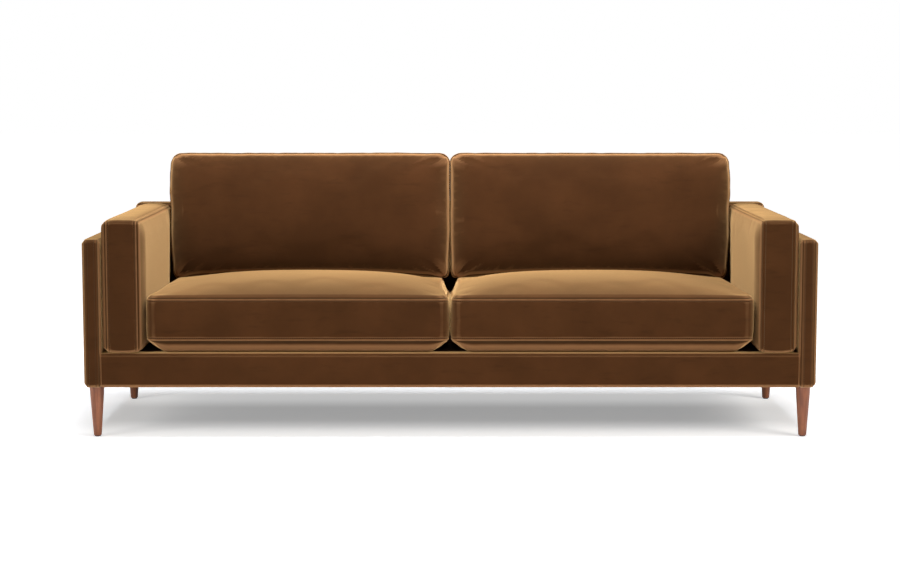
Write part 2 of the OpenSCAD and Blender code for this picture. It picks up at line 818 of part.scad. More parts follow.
module back_core_block(grow) {
    leaning_block([back_mid_x - back_half_w + back_wrap - grow, back_wrap - grow, back_rear_v - grow],
                  [back_mid_x + back_half_w - back_wrap + grow, back_cush_h - back_wrap + grow,
                   back_front_v + grow]);
}

module back_cushion_cover() {
    color("saddlebrown") difference() {
        back_form();
        back_core_block(core_gap);
        leaning_block([back_mid_x - back_zip_l / 2 - core_gap, -back_swell - overrun,
                       back_zip_v - zip_w / 2 - core_gap],
                      [back_mid_x + back_zip_l / 2 + core_gap, back_zip_u,
                       back_zip_v + zip_w / 2 + core_gap]);
    }
}

module back_cushion_core() {
    color("lemonchiffon") back_core_block(0);
}

module back_cushion_zip() {
    translate(on_back(back_mid_x, back_zip_u, back_zip_v)) rotate([180 - back_rake, 0, 0])
        zip_strip(back_zip_l);
}

// Arm cushions

// Rings along an arm cushion, as shares of its length behind the front seam
arm_ring_shares = [0.008, 0.02, 0.04, 0.07, 0.2, 0.4, 0.6, 0.8, 0.93, 1];
arm_fill_share = 0.06;
arm_end_share = 0.9;
arm_panel_share = 0.6;
arm_dish_shares = [0.8, 0.9];
// How far the body has swelled at a share of the length
function arm_fill(s) = min(1 - pow(1 - min(1, s / arm_fill_share), 2),
                           1 - pow(max(0, s - arm_end_share) / (1 - arm_end_share), 2) / 2);
function arm_ring(s, scale_share) = [
    for (p = outline(arm_panel_half_w + arm_swell * arm_fill(s),
                     arm_panel_half_h + arm_rise * arm_fill(s),
                     arm_front_r + (arm_body_r - arm_front_r) * arm_fill(s), arm_draw))
        along_arm(arm_cush_mid_x - scale_share * p[0], arm_cush_mid_z + scale_share * p[1], s)
];
// The front panel stands a little proud of its seam
function arm_panel_ring() = [
    for (p = arm_ring(0, arm_panel_share)) [p[0], arm_front_y - arm_rise * arm_dish_shares[0], p[2]]
];

module arm_form() {
    skin([arm_cush_mid_x, arm_front_y - arm_rise * arm_dish_shares[1], arm_cush_mid_z],
         concat([arm_panel_ring(), arm_ring(0, 1)],
                [for (s = arm_ring_shares) arm_ring(s, 1)],
                [arm_ring(1, arm_panel_share)]),
         along_arm(arm_cush_mid_x, arm_cush_mid_z, 1));
}

arm_zip_z = arm_cush_low_z + arm_draw + zip_depth;
arm_zip_l = (seat_rear_y - arm_front_y) * zip_share;
arm_zip_y = (seat_rear_y + arm_front_y) / 2;

module arm_core_block(grow) {
    low_z = arm_cush_low_z + arm_wrap - grow;
    high_z = arm_cush_low_z + arm_cush_h - arm_wrap + grow;
    near_y = arm_front_y + arm_wrap - grow;
    far = seat_gap + arm_wrap - grow;
    half_x = arm_panel_half_w - arm_draw + grow;
    prism_x(arm_cush_mid_x - half_x, arm_cush_mid_x + half_x,
        [[near_y, low_z],
         [face_y(low_z) - far, low_z],
         [face_y(high_z) - far, high_z],
         [near_y, high_z]]);
}

module arm_cushion_cover() {
    color("saddlebrown") difference() {
        arm_form();
        arm_core_block(core_gap);
        block([arm_cush_mid_x - zip_w / 2 - core_gap, arm_zip_y - arm_zip_l / 2 - core_gap,
               arm_cush_low_z - overrun],
              [arm_cush_mid_x + zip_w / 2 + core_gap, arm_zip_y + arm_zip_l / 2 + core_gap, arm_zip_z]);
    }
}

module arm_cushion_core() {
    color("lemonchiffon") arm_core_block(0);
}

module arm_cushion_zip() {
    translate([arm_cush_mid_x, arm_zip_y, arm_zip_z]) rotate([180, 0, 90]) zip_strip(arm_zip_l);
}

left() arm_low_rail();  // arm_low_rail_left
arm_low_rail();  // arm_low_rail_right
left() arm_top_rail();  // arm_top_rail_left
arm_top_rail();  // arm_top_rail_right
left() arm_posts();  // arm_posts_left
arm_posts();  // arm_posts_right
left() arm_boards();  // arm_boards_left
arm_boards();  // arm_boards_right
left() arm_cover();  // arm_cover_left
arm_cover();  // arm_cover_right
front_rail();
rear_rail();
left() side_rail();  // side_rail_left
side_rail();  // side_rail_right
seat_stretchers();
corner_blocks();
front_rail_cover();
seat_springs();
spring_clips(spring_first_y);  // spring_clips_front
spring_clips(spring_last_y);  // spring_clips_rear
spring_tie_wires();
seat_deck();
dust_cover();
back_posts();
back_top_rail();
back_webbing();
back_foam_slab();
back_cover();
outside_back();
left() leg(leg_front_y);  // leg_front_left
leg(leg_front_y);  // leg_front_right
left() leg(leg_rear_y);  // leg_rear_left
leg(leg_rear_y);  // leg_rear_right
hanger_bolts();
insert_nuts();
leg_glides();
frame_bolts();
left() seat_cushion_cover();  // seat_cushion_cover_left
seat_cushion_cover();  // seat_cushion_cover_right
left() seat_cushion_core();  // seat_cushion_core_left
seat_cushion_core();  // seat_cushion_core_right
left() seat_cushion_zip();  // seat_cushion_zip_left
seat_cushion_zip();  // seat_cushion_zip_right
left() back_cushion_cover();  // back_cushion_cover_left
back_cushion_cover();  // back_cushion_cover_right
left() back_cushion_core();  // back_cushion_core_left
back_cushion_core();  // back_cushion_core_right
left() back_cushion_zip();  // back_cushion_zip_left
back_cushion_zip();  // back_cushion_zip_right
left() arm_cushion_cover();  // arm_cushion_cover_left
arm_cushion_cover();  // arm_cushion_cover_right
left() arm_cushion_core();  // arm_cushion_core_left
arm_cushion_core();  // arm_cushion_core_right
left() arm_cushion_zip();  // arm_cushion_zip_left
arm_cushion_zip();  // arm_cushion_zip_right
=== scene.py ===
"""Looks of the two-seat velvet sofa: upholstery, seams, walnut legs, studio light and camera.

Metres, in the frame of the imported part: the front faces -Y, +X is the viewer's right, Z = 0 is the floor.
"""

import json
import math

import bpy
import numpy as np
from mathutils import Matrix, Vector, noise


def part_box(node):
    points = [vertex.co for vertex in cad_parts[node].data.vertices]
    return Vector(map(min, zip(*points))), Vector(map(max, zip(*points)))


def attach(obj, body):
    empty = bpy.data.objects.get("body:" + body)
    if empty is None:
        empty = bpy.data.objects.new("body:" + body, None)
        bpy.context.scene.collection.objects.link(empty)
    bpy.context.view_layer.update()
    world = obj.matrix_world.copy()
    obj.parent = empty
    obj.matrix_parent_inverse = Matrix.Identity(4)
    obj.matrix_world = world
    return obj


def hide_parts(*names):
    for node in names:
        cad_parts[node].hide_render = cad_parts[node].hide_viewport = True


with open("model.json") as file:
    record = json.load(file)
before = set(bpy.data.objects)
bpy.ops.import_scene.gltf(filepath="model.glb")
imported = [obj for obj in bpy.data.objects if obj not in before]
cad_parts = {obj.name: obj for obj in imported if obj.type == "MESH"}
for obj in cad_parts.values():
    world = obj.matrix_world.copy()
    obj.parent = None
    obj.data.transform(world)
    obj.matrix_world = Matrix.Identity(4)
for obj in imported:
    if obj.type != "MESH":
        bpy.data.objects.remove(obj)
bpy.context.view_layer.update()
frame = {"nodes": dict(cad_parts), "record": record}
MM = 0.001
# The sofa's sides and the sign of their X
SIDES = {"left": -1, "right": 1}

# Camera: 80 mm lens, 1.1 m above the floor, looking a little down at the front of the sofa

CAMERA_AT = (0.0, -6.293, 1.084)
CAMERA_PITCH = 5.99
CAMERA_LENS = 80.0
CAMERA_SENSOR = 36.0
CAMERA_REACH = 200.0


def add_camera():
    data = bpy.data.cameras.new("sofa_camera")
    data.lens = CAMERA_LENS
    data.sensor_width = CAMERA_SENSOR
    data.clip_end = CAMERA_REACH
    camera = bpy.data.objects.new("sofa_camera", data)
    bpy.context.scene.collection.objects.link(camera)
    camera.location = CAMERA_AT
    camera.rotation_euler = (math.radians(90 - CAMERA_PITCH), 0, 0)
    bpy.context.scene.camera = camera


add_camera()

# Nodes and node groups shared by the materials


def feed(tree, socket, value):
    """Links another node's socket to an input, or sets the input's own value."""
    if isinstance(value, bpy.types.NodeSocket):
        tree.links.new(value, socket)
    elif socket.type == "RGBA" and len(value) == 3:
        socket.default_value = (*value, 1)
    else:
        socket.default_value = value


def put(tree, kind, **values):
    """Adds a node; each value sets the property, or feeds the input, of that name."""
    made = tree.nodes.new(kind)
    for key, value in values.items():
        if hasattr(made, key):
            setattr(made, key, value)
        else:
            feed(tree, made.inputs[key.replace("_", " ")], value)
    return made


def math_node(tree, operation, *values, clamp=False):
    made = put(tree, "ShaderNodeMath", operation=operation, use_clamp=clamp)
    for socket, value in zip(made.inputs, values):
        feed(tree, socket, value)
    return made.outputs[0]


def blend_colour(tree, share, first, second):
    made = put(tree, "ShaderNodeMix", data_type="RGBA")
    for slot, value in ((0, share), (6, first), (7, second)):
        feed(tree, made.inputs[slot], value)
    return made.outputs[2]


def ranged(tree, value, low, high, to_low=0.0, to_high=1.0):
    made = put(tree, "ShaderNodeMapRange", Value=value, From_Min=low, From_Max=high, To_Min=to_low, To_Max=to_high)
    return made.outputs[0]


def noise_at(tree, vector, **values):
    return put(tree, "ShaderNodeTexNoise", Vector=vector, **values).outputs[0]


def object_place(tree):
    return put(tree, "ShaderNodeTexCoord").outputs["Object"]


def stretched(tree, stretch):
    """Object coordinates times a stretch."""
    made = put(tree, "ShaderNodeVectorMath", operation="MULTIPLY")
    feed(tree, made.inputs[0], object_place(tree))
    feed(tree, made.inputs[1], stretch)
    return made.outputs[0]


def seam_map(tree):
    """The piece's way along its seams, and across them: below 0 on its panels, above 0 on its band."""
    lay = put(tree, "ShaderNodeUVMap", uv_map="seam")
    return put(tree, "ShaderNodeSeparateXYZ", Vector=lay.outputs[0]).outputs[:2]


def spread_nodes(tree):
    """Sets the nodes out in columns, by how many steps each stands before the output."""
    steps = {node.name: 0 for node in tree.nodes}
    for _ in range(len(steps)):
        for link in tree.links:
            steps[link.from_node.name] = max(steps[link.from_node.name], steps[link.to_node.name] + 1)
    filled_rows = {}
    for node in tree.nodes:
        column = steps[node.name]
        row = filled_rows.get(column, 0)
        node.location = (-240 * column, -320 * row)
        filled_rows[column] = row + 1


SOCKETS = {1: "NodeSocketFloat", 3: "NodeSocketVector", 4: "NodeSocketColor"}


def new_group(name, inputs, outputs):
    """Starts a shader node group; returns it, the sockets of what it is given, and those of what it puts out."""
    group = bpy.data.node_groups.new(name, "ShaderNodeTree")
    for label, value in inputs.items():
        kind = SOCKETS[len(value) if isinstance(value, tuple) else 1]
        group.interface.new_socket(name=label, in_out="INPUT", socket_type=kind).default_value = value
    for label in outputs:
        kind = "NodeSocketColor" if label == "Color" else "NodeSocketFloat"
        group.interface.new_socket(name=label, in_out="OUTPUT", socket_type=kind)
    return group, group.nodes.new("NodeGroupInput").outputs, group.nodes.new("NodeGroupOutput").inputs


# Velvet: dark facing the eye, tan where it is seen along the pile
NAP = (0.051, 0.0160, 0.0046, 1)
BRUSHED = (0.072, 0.0240, 0.0075, 1)
CRUSHED = (0.030, 0.0088, 0.0024, 1)
# Painted sheen highlight: the colour laid on turned edges, undersides and seam rims
PAINTED_SHEEN = (0.42, 0.20, 0.085, 1)
# Painted shade: darker copies of the nap and brushed patches for the back cushions, standing in for the lower light
# they sit in
BACK_SHADED_NAP = (0.043, 0.0130, 0.0035, 1)
BACK_SHADED_BRUSHED = (0.062, 0.0203, 0.0063, 1)
THREAD = (0.10, 0.05, 0.025, 1)
SEAM_SHADE = (0.02, 0.008, 0.003, 1)
# Where brushed patches and crushed marks begin and are full, in their noise
PATCHES, MARKS, MOST_CRUSHED = (0.38, 0.68), (0.55, 0.78), 0.55
# Where the painted sheen highlight over a turned edge, and the painted light from below on an underside, begin and
# are full
EDGE_SHEEN_BEND, UNDER_SHEEN_TILT = (0.508, 0.555), (-0.12, -0.40)
# How much of the marks shows in the relief
MARK_RELIEF = 0.35


def pile_group():
    """Velvet pile: brushed patches, faint sideways marks and a fine nap.

    A lighter painted sheen highlight shows over turned edges, as painted light from below on an underside, and on the
    rim beside a seam.
    """
    group, given, out = new_group(
        "velvet_pile",
        {"Nap": NAP, "Brushed": BRUSHED, "Crushed": CRUSHED, "Opened": PAINTED_SHEEN, "Hanging": 0.5, "RimSheen": 0.0},
        ("Color", "Roughness", "Height"))
    place = object_place(group)
    clouds = noise_at(group, place, Scale=5.5, Detail=4.0, Roughness=0.6)
    marks = noise_at(group, stretched(group, (0.35, 1, 1.6)), Scale=34.0, Detail=3.0, Roughness=0.6)
    nap = noise_at(group, place, Scale=1400.0, Detail=1.0, Roughness=0.5)
    coat = blend_colour(group, ranged(group, clouds, *PATCHES), given["Nap"], given["Brushed"])
    coat = blend_colour(group, ranged(group, marks, *MARKS, 0.0, MOST_CRUSHED), coat, given["Crushed"])
    surface = put(group, "ShaderNodeNewGeometry").outputs
    upward = put(group, "ShaderNodeSeparateXYZ", Vector=surface["Normal"]).outputs[2]
    # Painted light from below on undersides, and painted sheen highlight on convex edges
    under = math_node(group, "MULTIPLY", ranged(group, upward, *UNDER_SHEEN_TILT), given["Hanging"])
    painted_sheen_share = math_node(group, "MAXIMUM", ranged(group, surface["Pointiness"], *EDGE_SHEEN_BEND), under)
    painted_sheen_share = math_node(group, "MAXIMUM", painted_sheen_share, given["RimSheen"])
    feed(group, out["Color"], blend_colour(group, painted_sheen_share, coat, given["Opened"]))
    feed(group, out["Roughness"], ranged(group, clouds, 0.3, 0.7, 0.82, 0.95))
    feed(group, out["Height"], math_node(group, "ADD", math_node(group, "MULTIPLY", marks, MARK_RELIEF), nap))
    return group


# The topstitching: its distance from the seam, a stitch's length, the thread's share of it and half its width
STITCH_LINE = 9 * MM
STITCH_LENGTH = 6.5 * MM
THREAD_SHARE = 0.68
THREAD_HALF = 0.6 * MM
# Distances from a seam, and from the topstitching, over which their shade fades, and how dark it is
SEAM_FADE, SEAM_DARKNESS = (0.5 * MM, 1.9 * MM), 0.85
STITCH_FADE, STITCH_DARKNESS = (0.4 * MM, 2.0 * MM), 0.75


def seam_group():
    """Reads the seam map: painted shade in the sewn line, and thread stitches in a line of painted shade beside it on
    the band.
    """
    group, given, out = new_group(
        "sewn_seam",
        {"Cloth": NAP, "Thread": THREAD, "Shade": SEAM_SHADE, "Stitch length": STITCH_LENGTH,
         "Stitch line": STITCH_LINE},
        ("Color", "Height"))
    along, across = seam_map(group)
    groove = ranged(group, math_node(group, "ABSOLUTE", across), *SEAM_FADE, SEAM_DARKNESS, 0.0)
    from_line = math_node(group, "ABSOLUTE", math_node(group, "SUBTRACT", across, given["Stitch line"]))
    on_line = math_node(group, "LESS_THAN", from_line, THREAD_HALF)
    step = math_node(group, "FRACT", math_node(group, "DIVIDE", along, given["Stitch length"]))
    thread = math_node(group, "MULTIPLY", on_line, math_node(group, "LESS_THAN", step, THREAD_SHARE))
    sunk = ranged(group, from_line, *STITCH_FADE, STITCH_DARKNESS, 0.0)
    shaded = blend_colour(group, groove, given["Cloth"], given["Shade"])
    shaded = blend_colour(group, sunk, shaded, given["Shade"])
    feed(group, out["Color"], blend_colour(group, thread, shaded, given["Thread"]))
    feed(group, out["Height"], thread)
    return group


def grain_group():
    """Wood grain: streaks drawn out along the piece, and fine pores."""
    group, given, out = new_group(
        "wood_grain",
        {"Early": (0.4, 0.2, 0.1, 1), "Late": (0.2, 0.09, 0.04, 1), "Stretch": (1, 1, 0.06), "Scale": 60.0},
        ("Color", "Roughness", "Height"))
    drawn = stretched(group, given["Stretch"])
    fine = math_node(group, "MULTIPLY", given["Scale"], 9.0)
    streaks = noise_at(group, drawn, Scale=given["Scale"], Detail=6.0, Distortion=0.6)
    pores = noise_at(group, drawn, Scale=fine, Detail=2.0)
    wood = blend_colour(group, ranged(group, streaks, 0.35, 0.65), given["Early"], given["Late"])
    wood = blend_colour(group, ranged(group, pores, 0.56, 0.7, 0.0, 0.5), wood, given["Late"])
    feed(group, out["Color"], wood)
    feed(group, out["Roughness"], ranged(group, streaks, 0.3, 0.7, 0.38, 0.55))
    feed(group, out["Height"], pores)
    return group


def cloth_group():
    """Plain woven cloth: crossed threads on Object coordinates, with slubs."""
    group, given, out = new_group(
        "plain_weave", {"Light": (0.2, 0.2, 0.2, 1), "Dark": (0.1, 0.1, 0.1, 1), "Threads": 500.0},
        ("Color", "Height"))
    place = object_place(group)
    waves = [put(group, "ShaderNodeTexWave", bands_direction=direction, Vector=place, Scale=given["Threads"],
                 Detail=0.0, Distortion=0.4).outputs["Fac"] for direction in "XYZ"]
    crossed = math_node(group, "MAXIMUM", math_node(group, "MAXIMUM", *waves[:2]), waves[2])
    share = math_node(group, "MULTIPLY", crossed, noise_at(group, place, Scale=40.0), clamp=True)
    feed(group, out["Color"], blend_colour(group, share, given["Dark"], given["Light"]))
    feed(group, out["Height"], crossed)
    return group


def speckle_group():
    """Fine uneven surface for foam, plastic and metal: cells, flecks or brushing."""
    group, given, out = new_group(
        "fine_surface",
        {"Base": (0.5, 0.5, 0.5, 1), "Flecks": (0.4, 0.4, 0.4, 1), "Stretch": (1, 1, 1), "Scale": 200.0,
         "Smooth": 0.3, "Rough": 0.5},
        ("Color", "Roughness", "Height"))
    flecks = noise_at(group, stretched(group, given["Stretch"]), Scale=given["Scale"], Detail=4.0)
    share = ranged(group, flecks, 0.4, 0.65)
    span = math_node(group, "SUBTRACT", given["Rough"], given["Smooth"])
    feed(group, out["Color"], blend_colour(group, share, given["Base"], given["Flecks"]))
    feed(group, out["Roughness"],
         math_node(group, "ADD", math_node(group, "MULTIPLY", span, share), given["Smooth"]))
    feed(group, out["Height"], flecks)
    return group


PILE, SEAM, GRAIN, CLOTH, SPECKLE = pile_group(), seam_group(), grain_group(), cloth_group(), speckle_group()


def new_material(name, **values):
    """A material with its own Principled shader and values for that shader's inputs."""
    material = bpy.data.materials.new(name)
    material.use_nodes = True
    tree = material.node_tree
    shader = tree.nodes["Principled BSDF"]
    for key, value in values.items():
        feed(tree, shader.inputs[key.replace("_", " ")], value)
    return material, tree, shader


def dress(tree, shader, relief, colour, height, roughness):
    """Gives a shader its colour, roughness and relief; relief is the bump's strength and depth."""
    feed(tree, shader.inputs["Base Color"], colour)
    if roughness is not None:
        feed(tree, shader.inputs["Roughness"], roughness)
    bump = put(tree, "ShaderNodeBump", Strength=relief[0], Distance=relief[1], Height=height)
    feed(tree, shader.inputs["Normal"], bump.outputs[0])


SHEEN_TINT = (1.0, 0.62, 0.26)
SHEEN_ROUGHNESS = 0.44
VELVET_GLOSS = 0.02
# Across the seam: where the painted sheen highlight on a panel's rim begins and is full, and where it ends at the
# seam itself
RIM_SHEEN_STARTS, RIM_SHEEN_ENDS = (-11 * MM, -5 * MM), (-2.5 * MM, -1 * MM)
THREAD_RELIEF = 2.5


def velvet_material(name, sewn=True, under_sheen=0.5, sheen=1.0, rim=0.42, nap=NAP, brushed=BRUSHED):
    """Velvet, with seams and stitches where it is sewn.

    The underside and rim values are how much painted sheen highlight lies on an underside and beside a seam.
    """
    material, tree, shader = new_material(
        name, Sheen_Weight=sheen, Sheen_Roughness=SHEEN_ROUGHNESS, Sheen_Tint=SHEEN_TINT,
        Specular_IOR_Level=VELVET_GLOSS, Diffuse_Roughness=1.0)
    pile = put(tree, "ShaderNodeGroup", node_tree=PILE, Nap=nap, Brushed=brushed, Crushed=CRUSHED, Opened=PAINTED_SHEEN,
               Hanging=under_sheen)
    colour, height = pile.outputs["Color"], pile.outputs["Height"]
    if sewn:
        across = seam_map(tree)[1]
        # Painted sheen highlight on a panel's rim beside each seam, fading out at the seam itself
        turned = ranged(tree, across, *RIM_SHEEN_STARTS, 0.0, rim)
        feed(tree, pile.inputs["RimSheen"], math_node(tree, "MULTIPLY", turned, ranged(tree, across, *RIM_SHEEN_ENDS, 1.0, 0.0)))
        seam = put(tree, "ShaderNodeGroup", node_tree=SEAM, Cloth=colour, Thread=THREAD, Shade=SEAM_SHADE)
        colour = seam.outputs["Color"]
        height = math_node(tree, "ADD", height, math_node(tree, "MULTIPLY", seam.outputs["Height"], THREAD_RELIEF))
    dress(tree, shader, (0.25, 0.4 * MM), colour, height, pile.outputs["Roughness"])
    return material


def grouped_material(name, group, relief, values, **shader_values):
    """A material whose colour, roughness and relief come from one group."""
    material, tree, shader = new_material(name, **shader_values)
    made = put(tree, "ShaderNodeGroup", node_tree=group, **values).outputs
    dress(tree, shader, relief, made["Color"], made["Height"], made.get("Roughness"))
    return material


def grain_material(name, early, late, stretch, scale, coat=0.0):
    values = {"Early": early, "Late": late, "Stretch": stretch, "Scale": scale}
    return grouped_material(name, GRAIN, (0.2, 0.3 * MM), values, Coat_Weight=coat, Coat_Roughness=0.3,
                            Specular_IOR_Level=0.4)


def woven_material(name, light, dark, threads, roughness=0.9):
    values = {"Light": light, "Dark": dark, "Threads": threads}
    return grouped_material(name, CLOTH, (0.35, 0.3 * MM), values, Roughness=roughness, Specular_IOR_Level=0.2)


def fine_material(name, base, flecks, scale, smooth, rough, stretch=(1, 1, 1), metallic=0.0, depth=0.2 * MM):
    values = {"Base": base, "Flecks": flecks, "Stretch": stretch, "Scale": scale, "Smooth": smooth, "Rough": rough}
    return grouped_material(name, SPECKLE, (0.3, depth), values, Metallic=metallic)


# Every velvet below carries the painted sheen highlight of its pile; the back and arm-side copies also carry painted
# shade
VELVET = velvet_material("sofa_velvet")
VELVET_PLAIN = velvet_material("sofa_velvet_plain", sewn=False)
SEAT_VELVET = velvet_material("seat_cushion_velvet", rim=0.08)
# Painted shade: a darker copy of the velvet with less sheen for the back cushions
BACK_SHADED_VELVET = velvet_material("back_cushion_velvet", under_sheen=0.0, sheen=0.86, rim=0.55, nap=BACK_SHADED_NAP,
                              brushed=BACK_SHADED_BRUSHED)
# Painted shade: the two sides of an arm cushion get a copy with less sheen and less painted rim highlight, so they
# show darker than the top and front
ARM_SIDE_SHADED_VELVET = velvet_material("arm_cushion_side_velvet", sheen=0.64, rim=0.36)
FINISHES = {
    "velvet": VELVET_PLAIN,
    "walnut": grain_material("leg_walnut", (0.28, 0.086, 0.027), (0.14, 0.037, 0.011), (1, 1, 0.05), 95.0, coat=0.12),
    "frame_wood": grain_material("frame_beech", (0.62, 0.42, 0.24), (0.46, 0.28, 0.14), (0.06, 1, 1), 55.0),
    "fibreboard": fine_material("arm_fibreboard", (0.38, 0.25, 0.14), (0.30, 0.19, 0.10), 320.0, 0.7, 0.9),
    "foam": fine_material("cushion_foam", (0.86, 0.80, 0.56), (0.74, 0.67, 0.43), 700.0, 0.85, 0.98, depth=0.8 * MM),
    "deck_cloth": woven_material("deck_cloth", (0.10, 0.055, 0.03), (0.05, 0.026, 0.014), 420.0),
    "dust_cloth": woven_material("dust_cloth", (0.02, 0.02, 0.02), (0.008, 0.008, 0.008), 260.0),
    "webbing": woven_material("elastic_webbing", (0.05, 0.05, 0.05), (0.015, 0.015, 0.015), 330.0, 0.8),
    "zip_tape": woven_material("zip_tape", (0.05, 0.026, 0.014), (0.02, 0.010, 0.006), 700.0, 0.75),
    "spring_steel": fine_material("spring_steel", (0.55, 0.55, 0.57), (0.42, 0.42, 0.44), 160.0, 0.25, 0.42,
                                  metallic=1.0),
    "clip_steel": fine_material("clip_enamel", (0.05, 0.05, 0.055), (0.08, 0.08, 0.085), 240.0, 0.35, 0.5),
    "bolt_steel": fine_material("bolt_zinc", (0.62, 0.62, 0.63), (0.5, 0.5, 0.52), 120.0, 0.22, 0.4,
                                stretch=(8, 1, 1), metallic=1.0),
    "insert_brass": fine_material("insert_brass", (0.68, 0.48, 0.2), (0.55, 0.37, 0.14), 150.0, 0.2, 0.38,
                                  stretch=(1, 1, 6), metallic=1.0),
    "glide_plastic": fine_material("glide_plastic", (0.015, 0.014, 0.013), (0.03, 0.028, 0.026), 900.0, 0.4, 0.55),
}

for part in frame["record"]["subparts"]:
    shown = frame["nodes"][part["node"]]
    shown.data.materials.clear()
    shown.data.materials.append(FINISHES[part["material_slot"]])

# Padded forms: two panels joined by a band, with seams where they meet

# Lines laid close together beside a seam, as distances from it
BESIDE_SEAM = np.array([0, 1.0, 2.0, 3.2, 4.6, 6.2, 7.6, 9.0, 10.4, 12.4, 15.5]) * MM
BESIDE_THIN = np.array([0, 1.5, 4.0, 8.0]) * MM
COARSE_EDGE = np.array([0, 9.0]) * MM
# A band narrower than this many times those lines' reach gets only the first two of them
NARROW_BAND = 2.5
# A panel's lines follow its rounding this many corner radii in from the rim, plus a margin
ROUNDING_REACH, ROUNDING_MARGIN = 2.5, 20 * MM
# Spacing of the lines on the frame's padding and on the cushions
FRAME_STEP, CUSHION_STEP = 9 * MM, 7 * MM
soft_pieces = []


def lay_lines(length, beside, step):
    """Positions from -length / 2 to length / 2: close lines beside both ends, even ones between."""
    middle = length - 2 * beside[-1]
    count = max(2, int(round(middle / step)))
    inner = beside[-1] + middle * np.arange(1, count) / count
    return np.concatenate([beside, inner, (length - beside)[::-1]]) - length / 2


def round_rim(x, y, half_a, half_b, corner, draw):
    """Points of a sharp rectangle's rim moved on to its rounded outline, with its sides drawn in."""
    from_a, from_b = half_a - np.abs(x), half_b - np.abs(y)
    on_a_side = from_a <= from_b
    near = np.clip(np.where(on_a_side, from_b, from_a) / corner, 0, 1)
    angle = np.radians(np.where(on_a_side, 45 * (1 - near), 90 - 45 * (1 - near)))
    in_corner = near < 1
    cx, cy = half_a - corner, half_b - corner
    rx = np.where(in_corner, cx + corner * np.cos(angle), np.abs(x))
    ry = np.where(in_corner, cy + corner * np.sin(angle), np.abs(y))
    pull_a = draw * np.clip(1 - (y / cy) ** 2, 0, 1) * on_a_side
    pull_b = draw * np.clip(1 - (x / cx) ** 2, 0, 1) * ~on_a_side
    out_x = np.where(in_corner, np.cos(angle), on_a_side * 1.0)
    out_y = np.where(in_corner, np.sin(angle), ~on_a_side * 1.0)
    sign_x, sign_y = np.sign(x), np.sign(y)
    points = np.stack([sign_x * (rx - pull_a), sign_y * (ry - pull_b)], axis=-1)
    return points, np.stack([sign_x * out_x, sign_y * out_y], axis=-1)


def edge_in(a, b, half_a, half_b):
    """Distance from a panel's nearest side."""
    return np.minimum(half_a - np.abs(a), half_b - np.abs(b))


def rim_share(a, b, half_a, half_b):
    """0 in the middle of a panel, 1 on its rim."""
    return np.maximum(np.maximum(np.abs(a) / half_a, np.abs(b) / half_b), 1e-6)


def ease(distance, reach):
    """0 to 1 as a distance grows to its reach, ending level."""
    return np.sin(np.clip(distance / reach, 0, 1) * math.pi / 2)


# How many times its rise a turned edge reaches in
EDGE_SLANT = 1.5


def turned_edge(distance, rise):
    """Rise of a soft edge that leaves its seam at a slant."""
    return rise * ease(distance, EDGE_SLANT * rise)


def filled_out(distance, reach):
    """0 to 1, steepest at the seam and flatter and flatter away from it."""
    return 1 - np.exp(-np.maximum(distance, 0) / reach)


def level_step(value, low, high):
    """0 to 1 between two values, level at both."""
    share = np.clip((value - low) / (high - low), 0, 1)
    return share * share * (3 - 2 * share)


class Padded:
    """A padded form. half_a and half_b are its panels' half sizes, and band is the width between seams.

    high and low give a panel's rise at (a, b), and swell gives the band's bulge at the rim's (a, b).
    place turns flat coordinates (a, b, thickness) into points of the part's frame. corner rounds the panels'
    corners, and draw pulls their sides in between them.
    """

    def __init__(self, half_a, half_b, band, swell, high, low, place, corner, draw=0.0):
        self.half_a, self.half_b, self.corner, self.draw = half_a, half_b, corner, draw
        self.band, self.swell, self.high, self.low, self.place = band, swell, high, low, place

    def lay(self, step, beside):
        """Returns the patches: lines, points of both panels and the band, and the way round the rim."""
        a = lay_lines(2 * self.half_a, beside, step)
        b = lay_lines(2 * self.half_b, beside, step)
        c = lay_lines(self.band, beside if beside[-1] * NARROW_BAND < self.band else beside[:2], step)
        x, y = np.meshgrid(a, b, indexing="ij")
        share = rim_share(x, y, self.half_a, self.half_b)
        rim, _ = round_rim(x / share, y / share, self.half_a, self.half_b, self.corner, self.draw)
        sharp = np.stack([x, y], axis=-1)
        inward = edge_in(x, y, self.half_a, self.half_b)
        # The rim's rounding fades towards the middle of the panel
        kept = np.clip(1 - inward / (ROUNDING_REACH * self.corner + ROUNDING_MARGIN), 0, 1) ** 2
        flat = sharp + (rim - sharp / share[..., None]) * kept[..., None]
        top = self.place(flat[..., 0], flat[..., 1], self.band / 2 + self.high(x, y))
        base = self.place(flat[..., 0], flat[..., 1], -self.band / 2 - self.low(x, y))
        na, nb = len(a), len(b)
        ring = [(i, 0) for i in range(na)] + [(na - 1, j) for j in range(1, nb)]
        ring += [(i, nb - 1) for i in range(na - 2, -1, -1)] + [(0, j) for j in range(nb - 2, 0, -1)]
        ring = np.array(ring)
        rim_a, rim_b = a[ring[:, 0]], b[ring[:, 1]]
        edge, out = round_rim(rim_a, rim_b, self.half_a, self.half_b, self.corner, self.draw)
        bulge = np.broadcast_to(self.swell(rim_a, rim_b), rim_a.shape)[:, None] * (1 - (2 * c / self.band) ** 4)
        side = edge[:, None, :] + out[:, None, :] * bulge[..., None]
        band = self.place(side[..., 0], side[..., 1], np.broadcast_to(c, side.shape[:2]))
        return {"a": a, "b": b, "c": c, "ring": ring, "top": top, "base": base, "band": band, "inward": inward}


